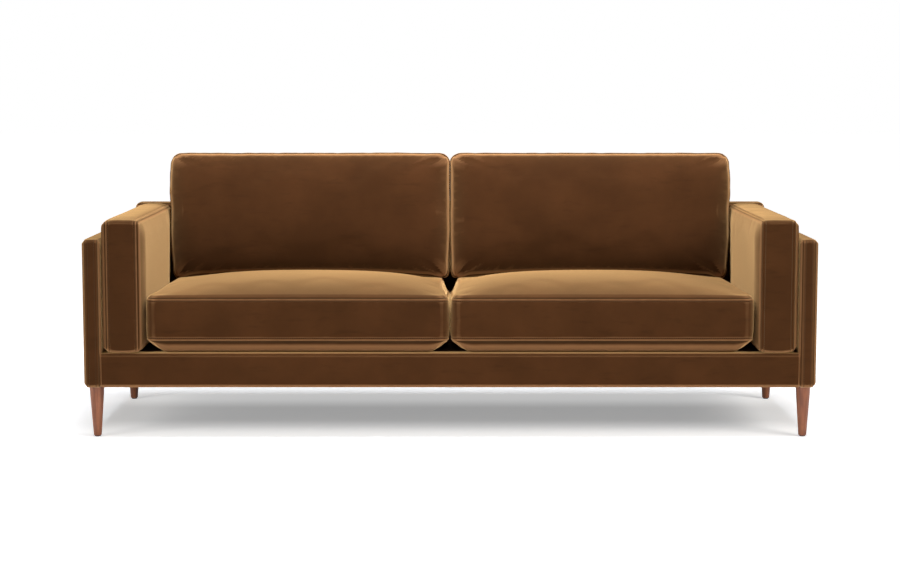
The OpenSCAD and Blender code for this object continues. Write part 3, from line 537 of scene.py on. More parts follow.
def ring_share(a, b, half_a, half_b):
    """Where a panel point's ray meets the rim, as a distance round the sharp rectangle."""
    share = rim_share(a, b, half_a, half_b)
    x, y = a / share, b / share
    return np.where(
        np.isclose(y, -half_b), x + half_a,
        np.where(np.isclose(x, half_a), 2 * half_a + y + half_b,
                 np.where(np.isclose(y, half_b), 2 * half_a + 2 * half_b + half_a - x,
                          4 * half_a + 2 * half_b + half_b - y)))


def quads(grid):
    """The four corners of every cell of a grid, a cell to a row."""
    return np.stack([grid[:-1, :-1], grid[1:, :-1], grid[1:, 1:], grid[:-1, 1:]], axis=-1).reshape(-1, 4)


def knit(laid):
    """Joins the patches into one closed list of points, faces and (along, across) seam maps per corner."""
    a, b, c, ring = laid["a"], laid["b"], laid["c"], laid["ring"]
    na, nb, nc, nr = len(a), len(b), len(c), len(ring)
    panel = na * nb
    points = np.concatenate([laid["top"].reshape(-1, 3), laid["base"].reshape(-1, 3),
                             laid["band"][:, 1:-1].reshape(-1, 3)])
    top_id = np.arange(panel).reshape(na, nb)
    base_id = top_id + panel
    band_id = np.empty((nr, nc), int)
    band_id[:, 0] = base_id[ring[:, 0], ring[:, 1]]
    band_id[:, -1] = top_id[ring[:, 0], ring[:, 1]]
    band_id[:, 1:-1] = 2 * panel + np.arange(nr * (nc - 2)).reshape(nr, nc - 2)
    x, y = np.meshgrid(a, b, indexing="ij")
    around = ring_share(x, y, -a[0], -b[0])
    full = 4 * (-a[0] - b[0])
    from_seam = -laid["inward"]
    band_around = np.concatenate([around[ring[:, 0], ring[:, 1]], [full]])
    near_seam = np.minimum(c - c[0], c[-1] - c)
    faces, maps = [], []

    def cells(ids, us, vs, flip):
        u, v = quads(us), quads(vs)
        u = np.where(u.max(axis=1, keepdims=True) - u > full / 2, u + full, u)
        order = slice(None, None, -1) if flip else slice(None)
        faces.append(quads(ids)[:, order])
        maps.append(np.stack([u, v], axis=-1)[:, order])

    cells(top_id, around, from_seam, False)
    cells(base_id, around, from_seam, True)
    closed = np.concatenate([band_id, band_id[:1]])
    cells(closed, np.repeat(band_around[:, None], nc, 1), np.repeat(near_seam[None], nr + 1, 0), False)
    return points, np.concatenate(faces), np.concatenate(maps)


def make_object(name, points, faces, maps=None):
    mesh = bpy.data.meshes.new(name)
    mesh.from_pydata(points.tolist(), [], faces.tolist())
    if maps is not None:
        layer = mesh.uv_layers.new(name="seam")
        layer.data.foreach_set("uv", maps.reshape(-1).astype(np.float32))
    mesh.polygons.foreach_set("use_smooth", [True] * len(mesh.polygons))
    mesh.update()
    made = bpy.data.objects.new(name, mesh)
    bpy.context.scene.collection.objects.link(made)
    return made


def read_vectors(items, key):
    """A mesh's points ("co") or normals ("vector") as an array."""
    flat = np.empty(len(items) * 3, np.float32)
    items.foreach_get(key, flat)
    return flat.reshape(-1, 3).astype(float)


def set_points(obj, points):
    obj.data.vertices.foreach_set("co", points.reshape(-1).astype(np.float32))
    obj.data.update()


def wander(points, scale, seed):
    """Smooth uneven values, about -1 to 1, over a list of points."""
    shift = Vector((seed * 7.31, seed * 3.17, seed * 5.71))
    return np.array([noise.noise(Vector(p) * scale + shift) for p in points])


def show_only(obj):
    bpy.ops.object.select_all(action="DESELECT")
    obj.select_set(True)
    bpy.context.view_layer.objects.active = obj


# Cloth of a filled cushion, with a little slack and held at its seams
CLOTH_SETTINGS = {"quality": 6, "mass": 0.25, "tension_stiffness": 30, "compression_stiffness": 30,
                  "shear_stiffness": 12, "bending_stiffness": 12.0, "use_pressure": True, "shrink_min": -0.012,
                  "vertex_group_mass": "seams"}
FILL_FRAMES = 20
FILL_STEP = 17 * MM
# How far the cloth may swell out and sink in
MOST_SWELL = 7 * MM
MOST_SINK = 1.2 * MM
# Size and depth of the soft hollows that the fill starts with
HOLLOWS = 7.0
HOLLOW_DEPTH = 2.4 * MM


def filled(name, form, pressure, seed):
    """Blows a coarse copy of the form up as cloth held at its seams; returns how far its patches moved."""
    laid = form.lay(FILL_STEP, COARSE_EDGE)
    points, faces, _ = knit(laid)
    uneven = wander(points, HOLLOWS, seed) * HOLLOW_DEPTH
    obj = make_object(name + "_fill", points, faces)
    outward = read_vectors(obj.data.vertex_normals, "vector")
    set_points(obj, points + outward * uneven[:, None])
    na, nb = len(laid["a"]), len(laid["b"])
    rim = np.zeros((na, nb), bool)
    rim[[0, -1], :] = True
    rim[:, [0, -1]] = True
    held = np.flatnonzero(rim.reshape(-1))
    held = np.concatenate([held, held + na * nb])
    group = obj.vertex_groups.new(name="seams")
    group.add([int(i) for i in held], 1.0, "REPLACE")
    cloth = obj.modifiers.new("fill", "CLOTH")
    for key, value in CLOTH_SETTINGS.items():
        setattr(cloth.settings, key, value)
    cloth.settings.uniform_pressure_force = pressure
    cloth.settings.effector_weights.gravity = 0
    cloth.collision_settings.use_collision = False
    scene = bpy.context.scene
    for step in range(1, FILL_FRAMES + 1):
        scene.frame_set(step)
    shaped = obj.evaluated_get(bpy.context.evaluated_depsgraph_get()).to_mesh()
    moved = read_vectors(shaped.vertices, "co") - points
    scene.frame_set(1)
    bpy.data.objects.remove(obj, do_unlink=True)
    reach = np.linalg.norm(moved, axis=1, keepdims=True)
    moved *= np.minimum(1, MOST_SWELL / np.maximum(reach, 1e-9))
    sunk = (moved * outward).sum(axis=1)
    moved -= outward * np.minimum(sunk + MOST_SINK, 0)[:, None]
    panel = na * nb
    nr, nc = len(laid["ring"]), len(laid["c"])
    band = np.zeros((nr, nc, 3))
    band[:, 1:-1] = moved[2 * panel:].reshape(nr, nc - 2, 3)
    return {"a": laid["a"], "b": laid["b"], "c": laid["c"], "ring": laid["ring"],
            "top": moved[:panel].reshape(na, nb, 3), "base": moved[panel:2 * panel].reshape(na, nb, 3),
            "band": band}


def grid_values(values, rows, cols, new_rows, new_cols):
    """Linear values of a grid at other lines."""
    half = np.stack([[np.interp(new_cols, cols, values[i, :, k]) for i in range(len(rows))] for k in range(3)], -1)
    return np.stack([[np.interp(new_rows, rows, half[:, j, k]) for j in range(len(new_cols))] for k in range(3)],
                    -1).transpose(1, 0, 2)


def round_positions(laid):
    x, y = np.meshgrid(laid["a"], laid["b"], indexing="ij")
    around = ring_share(x, y, -laid["a"][0], -laid["b"][0])
    return around[laid["ring"][:, 0], laid["ring"][:, 1]]


def carried_over(moved, laid):
    """The coarse movement at a finely laid form's points."""
    top = grid_values(moved["top"], moved["a"], moved["b"], laid["a"], laid["b"])
    base = grid_values(moved["base"], moved["a"], moved["b"], laid["a"], laid["b"])
    full = 4 * (-laid["a"][0] - laid["b"][0])
    rows = np.concatenate([round_positions(moved), [full]])
    values = np.concatenate([moved["band"], moved["band"][:1]])
    band = grid_values(values, rows, moved["c"], round_positions(laid), laid["c"])
    return top, base, band


# Half widths of the sunk seam, the turned edge beside it and the topstitching, and its share of the seam's depth
SEAM_WIDTH, RIDGE_WIDTH, STITCH_WIDTH, STITCH_SINK = 1.6 * MM, 2.4 * MM, 1.3 * MM, 0.7
# Gathers reach this many sizes from the seam and are drawn out across it; each layer has a scale, share and shift
GATHER_REACH, GATHER_DRAW = 5, 0.12
GATHER_LAYERS = ((0.9, 0.6, 0), (2.0, 0.4, 3))
# How much of the gathers the seam itself holds flat, and how far from it
GATHER_HELD, GATHER_HELD_WIDTH = 0.7, 3 * MM


def bell(distance, width):
    return np.exp(-((distance / width) ** 2))


def sewn(obj, maps, faces, groove, ridge, pucker, gather_size, seed, topstitch):
    """Sinks the seam, raises the turned edge beside it and gathers the cloth along it."""
    count = len(obj.data.vertices)
    along, across = np.zeros(count), np.zeros(count)
    along[faces.reshape(-1)] = maps[..., 0].reshape(-1)
    across[faces.reshape(-1)] = maps[..., 1].reshape(-1)
    points = read_vectors(obj.data.vertices, "co")
    normals = read_vectors(obj.data.vertex_normals, "vector")
    near = np.abs(across)
    rise = -groove * bell(near, SEAM_WIDTH)
    if topstitch:
        rise += ridge * bell(across - STITCH_LINE / 2, RIDGE_WIDTH)
        rise -= STITCH_SINK * groove * bell(across - STITCH_LINE, STITCH_WIDTH)
    close = near < GATHER_REACH * gather_size
    gather = np.zeros(count)
    laid_out = np.stack([along[close], across[close] * GATHER_DRAW, np.zeros(close.sum())], -1)
    for scale, share, shift in GATHER_LAYERS:
        gather[close] += wander(laid_out, scale / gather_size, seed + shift) * share
    fade = np.exp(-near / gather_size) * (1 - GATHER_HELD * bell(near, GATHER_HELD_WIDTH))
    rise += pucker * gather * fade
    points += normals * rise[:, None]
    return points


def upholster(name, form, replaced, body, step, pucker, seed, fill, groove=1.1 * MM, ridge=0.9 * MM,
              gather_size=22 * MM, pressure=None, give=1.0, low=None, high=None, material=VELVET,
              topstitch=True, pressed=None):
    """Makes a padded piece of its form and stands it in for its CAD node.

    groove, ridge and pucker are the depths and heights of its seams, give is its share of the cloth's own
    movement, and low, high and pressed keep it within its room.
    """
    laid = form.lay(step, BESIDE_SEAM)
    if pressure is not None:
        top, base, band = carried_over(filled(name, form, pressure, seed), laid)
        laid["top"] += give * top
        laid["base"] += give * base
        laid["band"] += give * band
    points, faces, maps = knit(laid)
    obj = make_object(name, points, faces, maps)
    points = sewn(obj, maps, faces, groove, ridge, pucker, gather_size, seed, topstitch)
    if low is not None:
        points = np.clip(points, np.array(low), np.array(high))
    if pressed is not None:
        points = pressed(points)
    set_points(obj, points)
    obj.data.materials.append(material)
    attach(obj, body)
    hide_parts(*replaced)
    soft_pieces.append(obj)
    return obj


def frame_padding(name, node, form, **values):
    """Upholsters a part of the frame in place of its cover."""
    upholster(name, form, [node], "sofa_frame", FRAME_STEP, fill=1.0, topstitch=False, **values)


def cushion(kind, side, form, **values):
    """Upholsters a loose cushion in place of its cover."""
    return upholster(kind + "_" + side + "_velvet", form, [kind + "_cover_" + side], kind + "_" + side,
                     CUSHION_STEP, **values)


def even(value):
    return lambda a, b: value


def turned_all_round(half_a, half_b, rise):
    """A panel's rise where its edge is turned all round."""
    return lambda a, b: turned_edge(edge_in(a, b, half_a, half_b), rise)


# Main planes of the frame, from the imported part

arm_low, arm_high = (np.array(v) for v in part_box("arm_cover_right"))
rail_low, rail_high = (np.array(v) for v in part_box("front_rail_cover"))
back_high = np.array(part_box("back_cover")[1])
outside_low, outside_high = (np.array(v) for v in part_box("outside_back"))
rear_y, deck_z, back_top_z = arm_high[1], rail_high[2], back_high[2]
BACK_TOP_D = 90 * MM
RAKE = math.radians(10)


def face_y(z):
    """Y of the inside back at a height."""
    return rear_y - BACK_TOP_D - (back_top_z - z) * math.tan(RAKE)


# Arm panels: a narrow band between two side panels with turned edges

ARM_OUT_EDGE, ARM_IN_EDGE = 10 * MM, 8 * MM
# How far the outer side's wadding stands out past its board
ARM_PLUMP = 3 * MM
# How far the seams stay inside the frame's box, along and upwards
ARM_INSET = np.array([0.9, 0.6]) * MM


def arm_panel(side):
    mid, size = (arm_low + arm_high) / 2, arm_high - arm_low
    half_a, half_b = size[1:] / 2 - ARM_INSET
    flat_edge = ARM_OUT_EDGE - ARM_PLUMP
    shift = (ARM_IN_EDGE - flat_edge) / 2

    def place(a, b, c):
        return np.stack([SIDES[side] * (mid[0] + shift + c), mid[1] + a, mid[2] + b], axis=-1)

    band = size[0] - flat_edge - ARM_IN_EDGE
    form = Padded(half_a, half_b, band, even(0.8 * MM), turned_all_round(half_a, half_b, ARM_OUT_EDGE),
                  turned_all_round(half_a, half_b, ARM_IN_EDGE), place, corner=10 * MM)
    frame_padding("arm_panel_" + side, "arm_cover_" + side, form, groove=0.6 * MM, pucker=0.25 * MM,
                  seed={"left": 12, "right": 11}[side])


for side in SIDES:
    arm_panel(side)

# Front rail: padded board under the seat cushions, butted against the arms

RAIL_ROUND = 7 * MM
# How far its ends run in under the arm panels, and how far its edges stay inside the frame's box
RAIL_BUTT, RAIL_INSET = 2 * MM, 0.3 * MM
rail_half_a, rail_half_b = rail_high[0] + RAIL_BUTT, (rail_high[2] - rail_low[2]) / 2 - RAIL_INSET


def rail_place(a, b, c):
    mid = (rail_low + rail_high) / 2
    return np.stack([mid[0] + a, mid[1] - c, mid[2] + b], axis=-1)


def rail_turned(a, b):
    return turned_edge(rail_half_b - np.abs(b), RAIL_ROUND)


rail_form = Padded(rail_half_a, rail_half_b, rail_high[1] - rail_low[1] - 2 * RAIL_ROUND, even(0.3 * MM),
                   rail_turned, rail_turned, rail_place, corner=0.5 * MM)
frame_padding("front_rail_padding", "front_rail_cover", rail_form, groove=0.0, ridge=0.0, pucker=0.0, seed=21,
              material=VELVET_PLAIN)

# Back panel: a leaning inside face, an upright outside face and a sewn top

BACK_SKIN = 4 * MM
# Room left for the outside back, and how far the seams stay inside the frame's box
OUTSIDE_ROOM, BACK_INSET = 1.5 * MM, 0.5 * MM
# The band's bulge, how much more it has along the top, and how far down that reaches
BACK_BULGE, BACK_TOP_BULGE, BACK_BULGE_REACH = 0.6 * MM, 2.2 * MM, 40 * MM
back_half_a, back_half_b = back_high[0], (back_top_z - deck_z) / 2 - BACK_INSET


def back_place(a, b, c):
    share = c / (BACK_TOP_D / 2)
    z = (deck_z + back_top_z) / 2 + b
    near, far = face_y(z), rear_y - OUTSIDE_ROOM
    return np.stack([a, (near + far) / 2 - share * (far - near) / 2, z], axis=-1)


def back_swell(a, b):
    return BACK_BULGE + BACK_TOP_BULGE * level_step(b, back_half_b - BACK_BULGE_REACH, back_half_b)


back_turned = turned_all_round(back_half_a, back_half_b, BACK_SKIN)
back_form = Padded(back_half_a, back_half_b, BACK_TOP_D - 2 * BACK_SKIN, back_swell, back_turned, back_turned,
                   back_place, corner=14 * MM)
frame_padding("back_panel", "back_cover", back_form, groove=1.2 * MM, pucker=0.3 * MM, seed=31)

# Outside back: thin padded panel, tacked down below the top edge

OUTSIDE_T = 5 * MM
OUTSIDE_BAND, OUTSIDE_EDGE, OUTSIDE_INSET = 2.4 * MM, 1.8 * MM, 3 * MM
outside_half_a, outside_half_b = outside_high[0] - OUTSIDE_INSET, (outside_high[2] - outside_low[2]) / 2


def outside_place(a, b, c):
    return np.stack([-a, rear_y - OUTSIDE_T / 2 + c, (outside_low[2] + outside_high[2]) / 2 + b], axis=-1)


def thin_padded(name, form, replaced, step, material):
    """A padded piece of the frame with too thin a band for seam lines of its own."""
    points, faces, maps = knit(form.lay(step, BESIDE_THIN))
    obj = make_object(name, points, faces, maps)
    obj.data.materials.append(material)
    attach(obj, "sofa_frame")
    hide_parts(replaced)
    soft_pieces.append(obj)


outside_turned = turned_all_round(outside_half_a, outside_half_b, OUTSIDE_EDGE)
outside_form = Padded(outside_half_a, outside_half_b, OUTSIDE_BAND, even(0.2 * MM), outside_turned,
                      outside_turned, outside_place, corner=6 * MM)
thin_padded("outside_back_panel", outside_form, "outside_back", 10 * MM, VELVET_PLAIN)

# Deck under the seat cushions: cloth over felt, sagging a little on its springs

deck_low, deck_high = (np.array(v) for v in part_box("seat_deck"))
deck_half = (deck_high - deck_low) / 2
deck_mid = (deck_high + deck_low) / 2
DECK_EDGE = 3 * MM
DECK_SAG = 3 * MM
# How far in from the ends, and from the front and rear, the sag is full
DECK_SAG_REACH = (0.3, 0.2)


def deck_place(a, b, c):
    sag = (DECK_SAG * ease(deck_half[0] - np.abs(a), DECK_SAG_REACH[0])
           * ease(deck_half[1] - np.abs(b), DECK_SAG_REACH[1]))
    return np.stack([deck_mid[0] + a, deck_mid[1] + b, deck_mid[2] + c - sag], axis=-1)


deck_turned = turned_all_round(*deck_half[:2], DECK_EDGE)
deck_form = Padded(*deck_half[:2], deck_high[2] - deck_low[2] - 2 * DECK_EDGE, even(0.0), deck_turned,
                   deck_turned, deck_place, corner=4 * MM)
thin_padded("deck_panel", deck_form, "seat_deck", 14 * MM, FINISHES["deck_cloth"])

# Dust cloth under the frame: one stretched sheet, tacked round its edge

dust_low, dust_high = (np.array(v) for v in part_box("dust_cover"))
DUST_LINES = (120, 46)
DUST_T = 0.5 * MM
DUST_SAG, DUST_SAG_FROM, DUST_SAG_REACH = 2.5 * MM, 30 * MM, 0.3
# Ripples between the tacks: their height, how closely they follow each other, and where they start and fade
RIPPLE, RIPPLE_SCALE, RIPPLE_FROM, RIPPLE_FADE = 0.6 * MM, 14.0, 15 * MM, 60 * MM


def dust_cloth():
    a, b = (np.linspace(dust_low[k], dust_high[k], DUST_LINES[k]) for k in (0, 1))
    x, y = np.meshgrid(a, b, indexing="ij")
    inside = np.minimum(np.minimum(x - a[0], a[-1] - x), np.minimum(y - b[0], b[-1] - y))
    flat = np.stack([x, y, np.zeros_like(x)], -1).reshape(-1, 3)
    ripples = wander(flat, RIPPLE_SCALE, 71).reshape(x.shape) * np.exp(-inside / RIPPLE_FADE) * (inside > RIPPLE_FROM)
    z = dust_low[2] + DUST_T - DUST_SAG * ease(inside - DUST_SAG_FROM, DUST_SAG_REACH) + RIPPLE * ripples
    points = np.stack([x, y, z], -1).reshape(-1, 3)
    obj = make_object("dust_cloth", points, quads(np.arange(len(points)).reshape(x.shape)))
    show_only(obj)
    wall = obj.modifiers.new("cloth_thickness", "SOLIDIFY")
    wall.thickness = DUST_T
    wall.offset = 0.0
    bpy.ops.object.modifier_apply(modifier=wall.name)
    obj.data.materials.append(FINISHES["dust_cloth"])
    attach(obj, "sofa_frame")
    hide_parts("dust_cover")
    soft_pieces.append(obj)


dust_cloth()

# Loose cushions

# Gap between the inside back and the cushions that stand against it
BACK_GAP = 0.4 * MM
# Cloth kept round a zip, how deep the cloth may stand over it, and how far it is pressed back behind it
ZIP_WALL, ZIP_REACH, ZIP_SINK = 1.2 * MM, 20 * MM, 0.3 * MM


def zip_recess(node, axis, toward):
    """Presses the cloth behind a zip: its node's box grown a little, and the side that the cloth gives way to."""
    low, high = (np.array(v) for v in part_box(node))
    grown_low, grown_high = low - ZIP_WALL, high + ZIP_WALL
    if toward < 0:
        grown_high[axis] = high[axis] + ZIP_REACH
        bottom = low[axis] - ZIP_SINK
    else:
        grown_low[axis] = low[axis] - ZIP_REACH
        bottom = high[axis] + ZIP_SINK

    def pressed(points):
        inside = np.all((points > grown_low) & (points < grown_high), axis=1)
        points[inside, axis] = bottom
        return points

    return pressed


# Seat cushions. swell is the band's bulge at the sides and rear, and front is its bulge at the front.

SEAT = {"band": 128 * MM, "belly": 36 * MM, "crown": 42.5 * MM, "corner": 24 * MM, "draw": 2 * MM,
        "swell": 5.2 * MM, "front": 3 * MM, "front_reach": 60 * MM}
# The turned edge's rise, and how much of it is lost towards the rear
SEAT_EDGE, SEAT_EDGE_LOSS = 7 * MM, 0.45
# How the crown falls off towards the arm and towards the other cushion: powers at the front and at the rear
ARM_SIDE, INNER_SIDE = (3.0, 2.3), (5.0, 1.2)
SEAT_CROWN_FRONT, SEAT_CROWN_REAR = 3.2, 2.1
# Where the front's shape gives way to the rear's, as shares of the half depth
SEAT_CHANGE = (-0.3, 0.75)
# Drop of the top seam at the rear corners, and how far in it reaches: beside the arm, beside the other cushion
SIDE_DROP, SIDE_REACH = (25 * MM, 42 * MM), (27 * MM, 25 * MM)
DROP_FROM = 40 * MM
BELLY_SIDE, BELLY_FRONT, BELLY_REAR, BELLY_POWER = 64 * MM, 26 * MM, 38 * MM, 0.6
# Room past the cover's box, at the front and on top
SEAT_ROOM = (4 * MM, 12 * MM)


def seat_cushion(side):
    low, high = (np.array(v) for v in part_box("seat_cushion_cover_" + side))
    mid = (low + high) / 2
    half_a = (high[0] - low[0]) / 2 - SEAT["swell"]
    half_b = (high[1] - low[1] - SEAT["swell"] - SEAT["front"]) / 2
    mid_y = mid[1] + (SEAT["front"] - SEAT["swell"]) / 2
    mid_z = low[2] + SEAT["belly"] + SEAT["band"] / 2

    def rise(a, b):
        outward = SIDES[side] * a
        rearward = level_step(b, SEAT_CHANGE[0] * half_b, SEAT_CHANGE[1] * half_b)
        lengthwise = 1 - np.abs(b / half_b) ** np.where(b < 0, SEAT_CROWN_FRONT, SEAT_CROWN_REAR)
        start, end = (np.where(outward > 0, ARM_SIDE[k], INNER_SIDE[k]) for k in (0, 1))
        crosswise = 1 - np.abs(outward / half_a) ** (start + (end - start) * rearward)
        edge = turned_edge(edge_in(a, b, half_a, half_b), SEAT_EDGE) * (1 - SEAT_EDGE_LOSS * rearward)
        return edge + SEAT["crown"] * lengthwise * crosswise

    def belly(a, b):
        """Bulges out under the front seam before it turns under."""
        front = ease(np.maximum(b + half_b, 0), BELLY_FRONT) ** BELLY_POWER
        return SEAT["belly"] * front * ease(half_b - b, BELLY_REAR) * ease(half_a - np.abs(a), BELLY_SIDE)

    def place(a, b, c):
        # The top seam drops along the sides towards the rear, most beside the other cushion
        outward = SIDES[side] * a
        most, reach = (np.where(outward > 0, pair[0], pair[1]) for pair in (SIDE_DROP, SIDE_REACH))
        beside = level_step(np.abs(outward), half_a - reach, half_a)
        drop = most * beside * ease(b + half_b - DROP_FROM, 2 * half_b) * np.clip(c / (SEAT["band"] / 2), 0, 1)
        return np.stack([mid[0] + a, mid_y + b, mid_z + c - drop], axis=-1)

    def swell(a, b):
        at_front = level_step(-b, half_b - SEAT["front_reach"], half_b)
        return SEAT["swell"] - (SEAT["swell"] - SEAT["front"]) * at_front

    form = Padded(half_a, half_b, SEAT["band"], swell, rise, belly, place, SEAT["corner"], SEAT["draw"])
    cushion("seat_cushion", side, form, pucker=0.6 * MM, seed={"left": 41, "right": 47}[side], fill=0.8, pressure=0.8,
            give=0.22, material=SEAT_VELVET, low=(low[0], low[1] - SEAT_ROOM[0], low[2]),
            high=(high[0], high[1], high[2] + SEAT_ROOM[1]), pressed=zip_recess("seat_cushion_zip_" + side, 1, -1))


for side in SIDES:
    seat_cushion(side)

# Back cushions, leaning on the inside back. crown and dome are the front's fullness near its seams and all over.

BACK = {"band": 83 * MM, "crown": 30 * MM, "dome": 19 * MM, "rear": 8 * MM, "rear_reach": 60 * MM,
        "corner": 34 * MM, "height": 386 * MM, "swell": 3 * MM, "top_swell": 4 * MM, "top_reach": 50 * MM}
BACK_EDGE = 9 * MM
# How far from a side seam, and from the top or bottom seam, the crown fills out
CROWN_REACH = (24 * MM, 32 * MM)
# The share of the band that the box's top stands over
TOP_SHARE = 0.67
# Where the two back cushions press on each other, from the middle of the sofa, and how far out they may reach
CONTACT, BACK_REACH = 0.05 * MM, 0.915
# Drop of the foot beside the seat cushion's crown, how high it reaches, and its power beside the other cushion
FOOT_DROOP, FOOT_REACH, FOOT_INNER = 16 * MM, 150 * MM, 2.2
# Further drop at the foot's corners, between these shares of the half width
CORNER_DROOP, CORNER_FROM = 12 * MM, (0.86, 0.99)
# Outer side: how far it bulges out above the arm cushion and draws in again at the top, and between which heights
ABOVE_ARM, ABOVE_ARM_AT = 4.5 * MM, (0.64, 0.71)
TOP_DRAW, TOP_DRAW_AT = 3.5 * MM, (0.74, 0.82)
# Narrowing of the foot at the outer and inner side, and the heights where it begins and is full
FOOT_OUT, FOOT_IN, FOOT_AT = 11 * MM, 5 * MM, (0.58, 0.43)
# Room past the cover's box, at the front, below and on top
BACK_CUSHION_ROOM = (14 * MM, 2 * MM, 6 * MM)


def back_cushion(side):
    low, high = (np.array(v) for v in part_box("back_cushion_cover_" + side))
    mid_x = (low[0] + high[0]) / 2
    sign = SIDES[side]
    half_a, half_b = (high[0] - low[0]) / 2 - 0.9 * MM, BACK["height"] / 2
    # The foot of the inside face, found from the box's top
    top_v = BACK_GAP + BACK["rear"]
    foot_z = (high[2] - (BACK["height"] + BACK["top_swell"]) * math.cos(RAKE)
              - (top_v + BACK["band"] * TOP_SHARE) * math.sin(RAKE))
    mid_v = BACK_GAP + BACK["rear"] + BACK["band"] / 2

    def place(a, b, c):
        outward = np.clip(sign * a / half_a, -1, 1)
        # The foot droops beside the crown of the seat cushion
        low_down = level_step(-b, half_b - FOOT_REACH, half_b)
        beside = np.abs(outward) ** np.where(outward > 0, ARM_SIDE[1], FOOT_INNER)
        droop = (FOOT_DROOP * beside + CORNER_DROOP * level_step(np.abs(outward), *CORNER_FROM)) * low_down
        u, v = half_b + b - droop, mid_v + c
        y = face_y(foot_z) + u * math.sin(RAKE) - v * math.cos(RAKE)
        z = foot_z + u * math.cos(RAKE) + v * math.sin(RAKE)
        # Fuller above the arm cushions, narrower at the foot
        fuller = ABOVE_ARM * level_step(z, *ABOVE_ARM_AT) - TOP_DRAW * level_step(z, *TOP_DRAW_AT)
        foot = level_step(-z, -FOOT_AT[0], -FOOT_AT[1])
        spread = np.where(outward > 0, fuller - FOOT_OUT * foot, FOOT_IN * foot) * outward**2
        return np.stack([mid_x + a + sign * spread, y, z], axis=-1)

    def swell(a, b):
        at_ends = level_step(np.abs(b), half_b - BACK["top_reach"], half_b)
        return BACK["swell"] + (BACK["top_swell"] - BACK["swell"]) * at_ends

    def front(a, b):
        plump = (BACK["crown"] * filled_out(half_a - np.abs(a), CROWN_REACH[0])
                 * filled_out(half_b - np.abs(b), CROWN_REACH[1]))
        dome = BACK["dome"] * (1 - (b / half_b) ** 2) * (1 - (a / half_a) ** 4)
        return turned_edge(edge_in(a, b, half_a, half_b), BACK_EDGE) + plump + dome

    def rear(a, b):
        reach = BACK["rear_reach"]
        return BACK["rear"] * ease(half_a - np.abs(a), reach) * ease(half_b - np.abs(b), reach)

    form = Padded(half_a, half_b, BACK["band"], swell, front, rear, place, BACK["corner"])
    room = BACK_CUSHION_ROOM
    cushion("back_cushion", side, form, pucker=2.2 * MM, gather_size=27 * MM, seed={"left": 51, "right": 57}[side],
            fill=0.7, pressure=1.0, give=0.5, material=BACK_SHADED_VELVET,
            low=(-BACK_REACH if sign < 0 else CONTACT, low[1] - room[0], low[2] - room[1]),
            high=(BACK_REACH if sign > 0 else -CONTACT, high[1], high[2] + room[2]))


for side in SIDES:
    back_cushion(side)

# Arm cushions: the band runs up the front and over the top

ARM = {"front": 2.2 * MM, "top": 9.0 * MM, "base": 5 * MM, "corner": 11 * MM, "draw": 1 * MM, "band": 96.5 * MM}
ARM_TOP_SEAM = 651.5 * MM
# The panels' nominal half depth; their place is stretched from the front to the leaning back
ARM_HALF_DEPTH = 330 * MM
# How far from the top and bottom, and from the front, the band's bulge grows to its own
ARM_SWELL_REACH, ARM_SWELL_FRONT = 30 * MM, 110 * MM
# Fullness of a panel, rise of its turned edge, and its reach from the front, rear, top and bottom seams
ARM_INNER, ARM_INNER_EDGE, ARM_INNER_REACH = 17.4 * MM, 4 * MM, (58 * MM, 185 * MM, 60 * MM, 34 * MM)
ARM_OUTER, ARM_OUTER_EDGE, ARM_OUTER_REACH = 15.1 * MM, 12 * MM, (40 * MM, None, 60 * MM, 40 * MM)
ARM_ROOM = 3 * MM


def shade_side_panels(piece, material):
    """Gives both panels of a cushion the painted-shade copy of the velvet, up to the seams."""
    mesh = piece.data
    mesh.materials.append(material)
    layer = mesh.uv_layers["seam"].uv
    for face in mesh.polygons:
        if sum(layer[corner].vector[1] for corner in face.loop_indices) < 0:
            face.material_index = 1


def arm_cushion(side):
    low, high = (np.array(v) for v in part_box("arm_cushion_cover_" + side))
    inner_x, outer_x = min(abs(low[0]), abs(high[0])), max(abs(low[0]), abs(high[0]))
    mid_x = (inner_x + ARM_INNER + outer_x - ARM_OUTER) / 2
    foot = low[2] + ARM["base"]
    mid_z, half_b = (foot + ARM_TOP_SEAM) / 2, (ARM_TOP_SEAM - foot) / 2
    near_y = low[1] + ARM["front"]
    half_a = ARM_HALF_DEPTH

    def place(a, b, c):
        z = mid_z + b
        far = face_y(z) - BACK_GAP - ARM["front"]
        share = (a + half_a) / (2 * half_a)
        return np.stack([SIDES[side] * (mid_x - c), near_y + share * (far - near_y), z], axis=-1)

    def swell(a, b):
        at_top, at_base = (level_step(way * b, half_b - ARM_SWELL_REACH, half_b) for way in (1, -1))
        return (ARM["front"] + (ARM["top"] - ARM["front"]) * at_top * ease(a + half_a, ARM_SWELL_FRONT)
                + (ARM["base"] - ARM["front"]) * at_base)

    def side_panel(fullness, edge, reaches):
        def rise(a, b):
            from_seams = (half_a + a, half_a - a, half_b - b, half_b + b)
            full = math.prod(ease(away, reach) for away, reach in zip(from_seams, reaches) if reach)
            return turned_edge(edge_in(a, b, half_a, half_b), edge) + (fullness - edge) * full

        return rise

    inner = side_panel(ARM_INNER, ARM_INNER_EDGE, ARM_INNER_REACH)
    outer = side_panel(ARM_OUTER, ARM_OUTER_EDGE, ARM_OUTER_REACH)
    form = Padded(half_a, half_b, ARM["band"], swell, inner, outer, place, ARM["corner"], ARM["draw"])
    piece = cushion("arm_cushion", side, form, pucker=0.5 * MM, seed={"left": 61, "right": 67}[side], fill=0.8,
                    pressure=0.7, give=0.15, low=low, high=high + np.array([0, 0, ARM_ROOM]),
                    pressed=zip_recess("arm_cushion_zip_" + side, 2, 1))
    shade_side_panels(piece, ARM_SIDE_SHADED_VELVET)


for side in SIDES:
    arm_cushion(side)


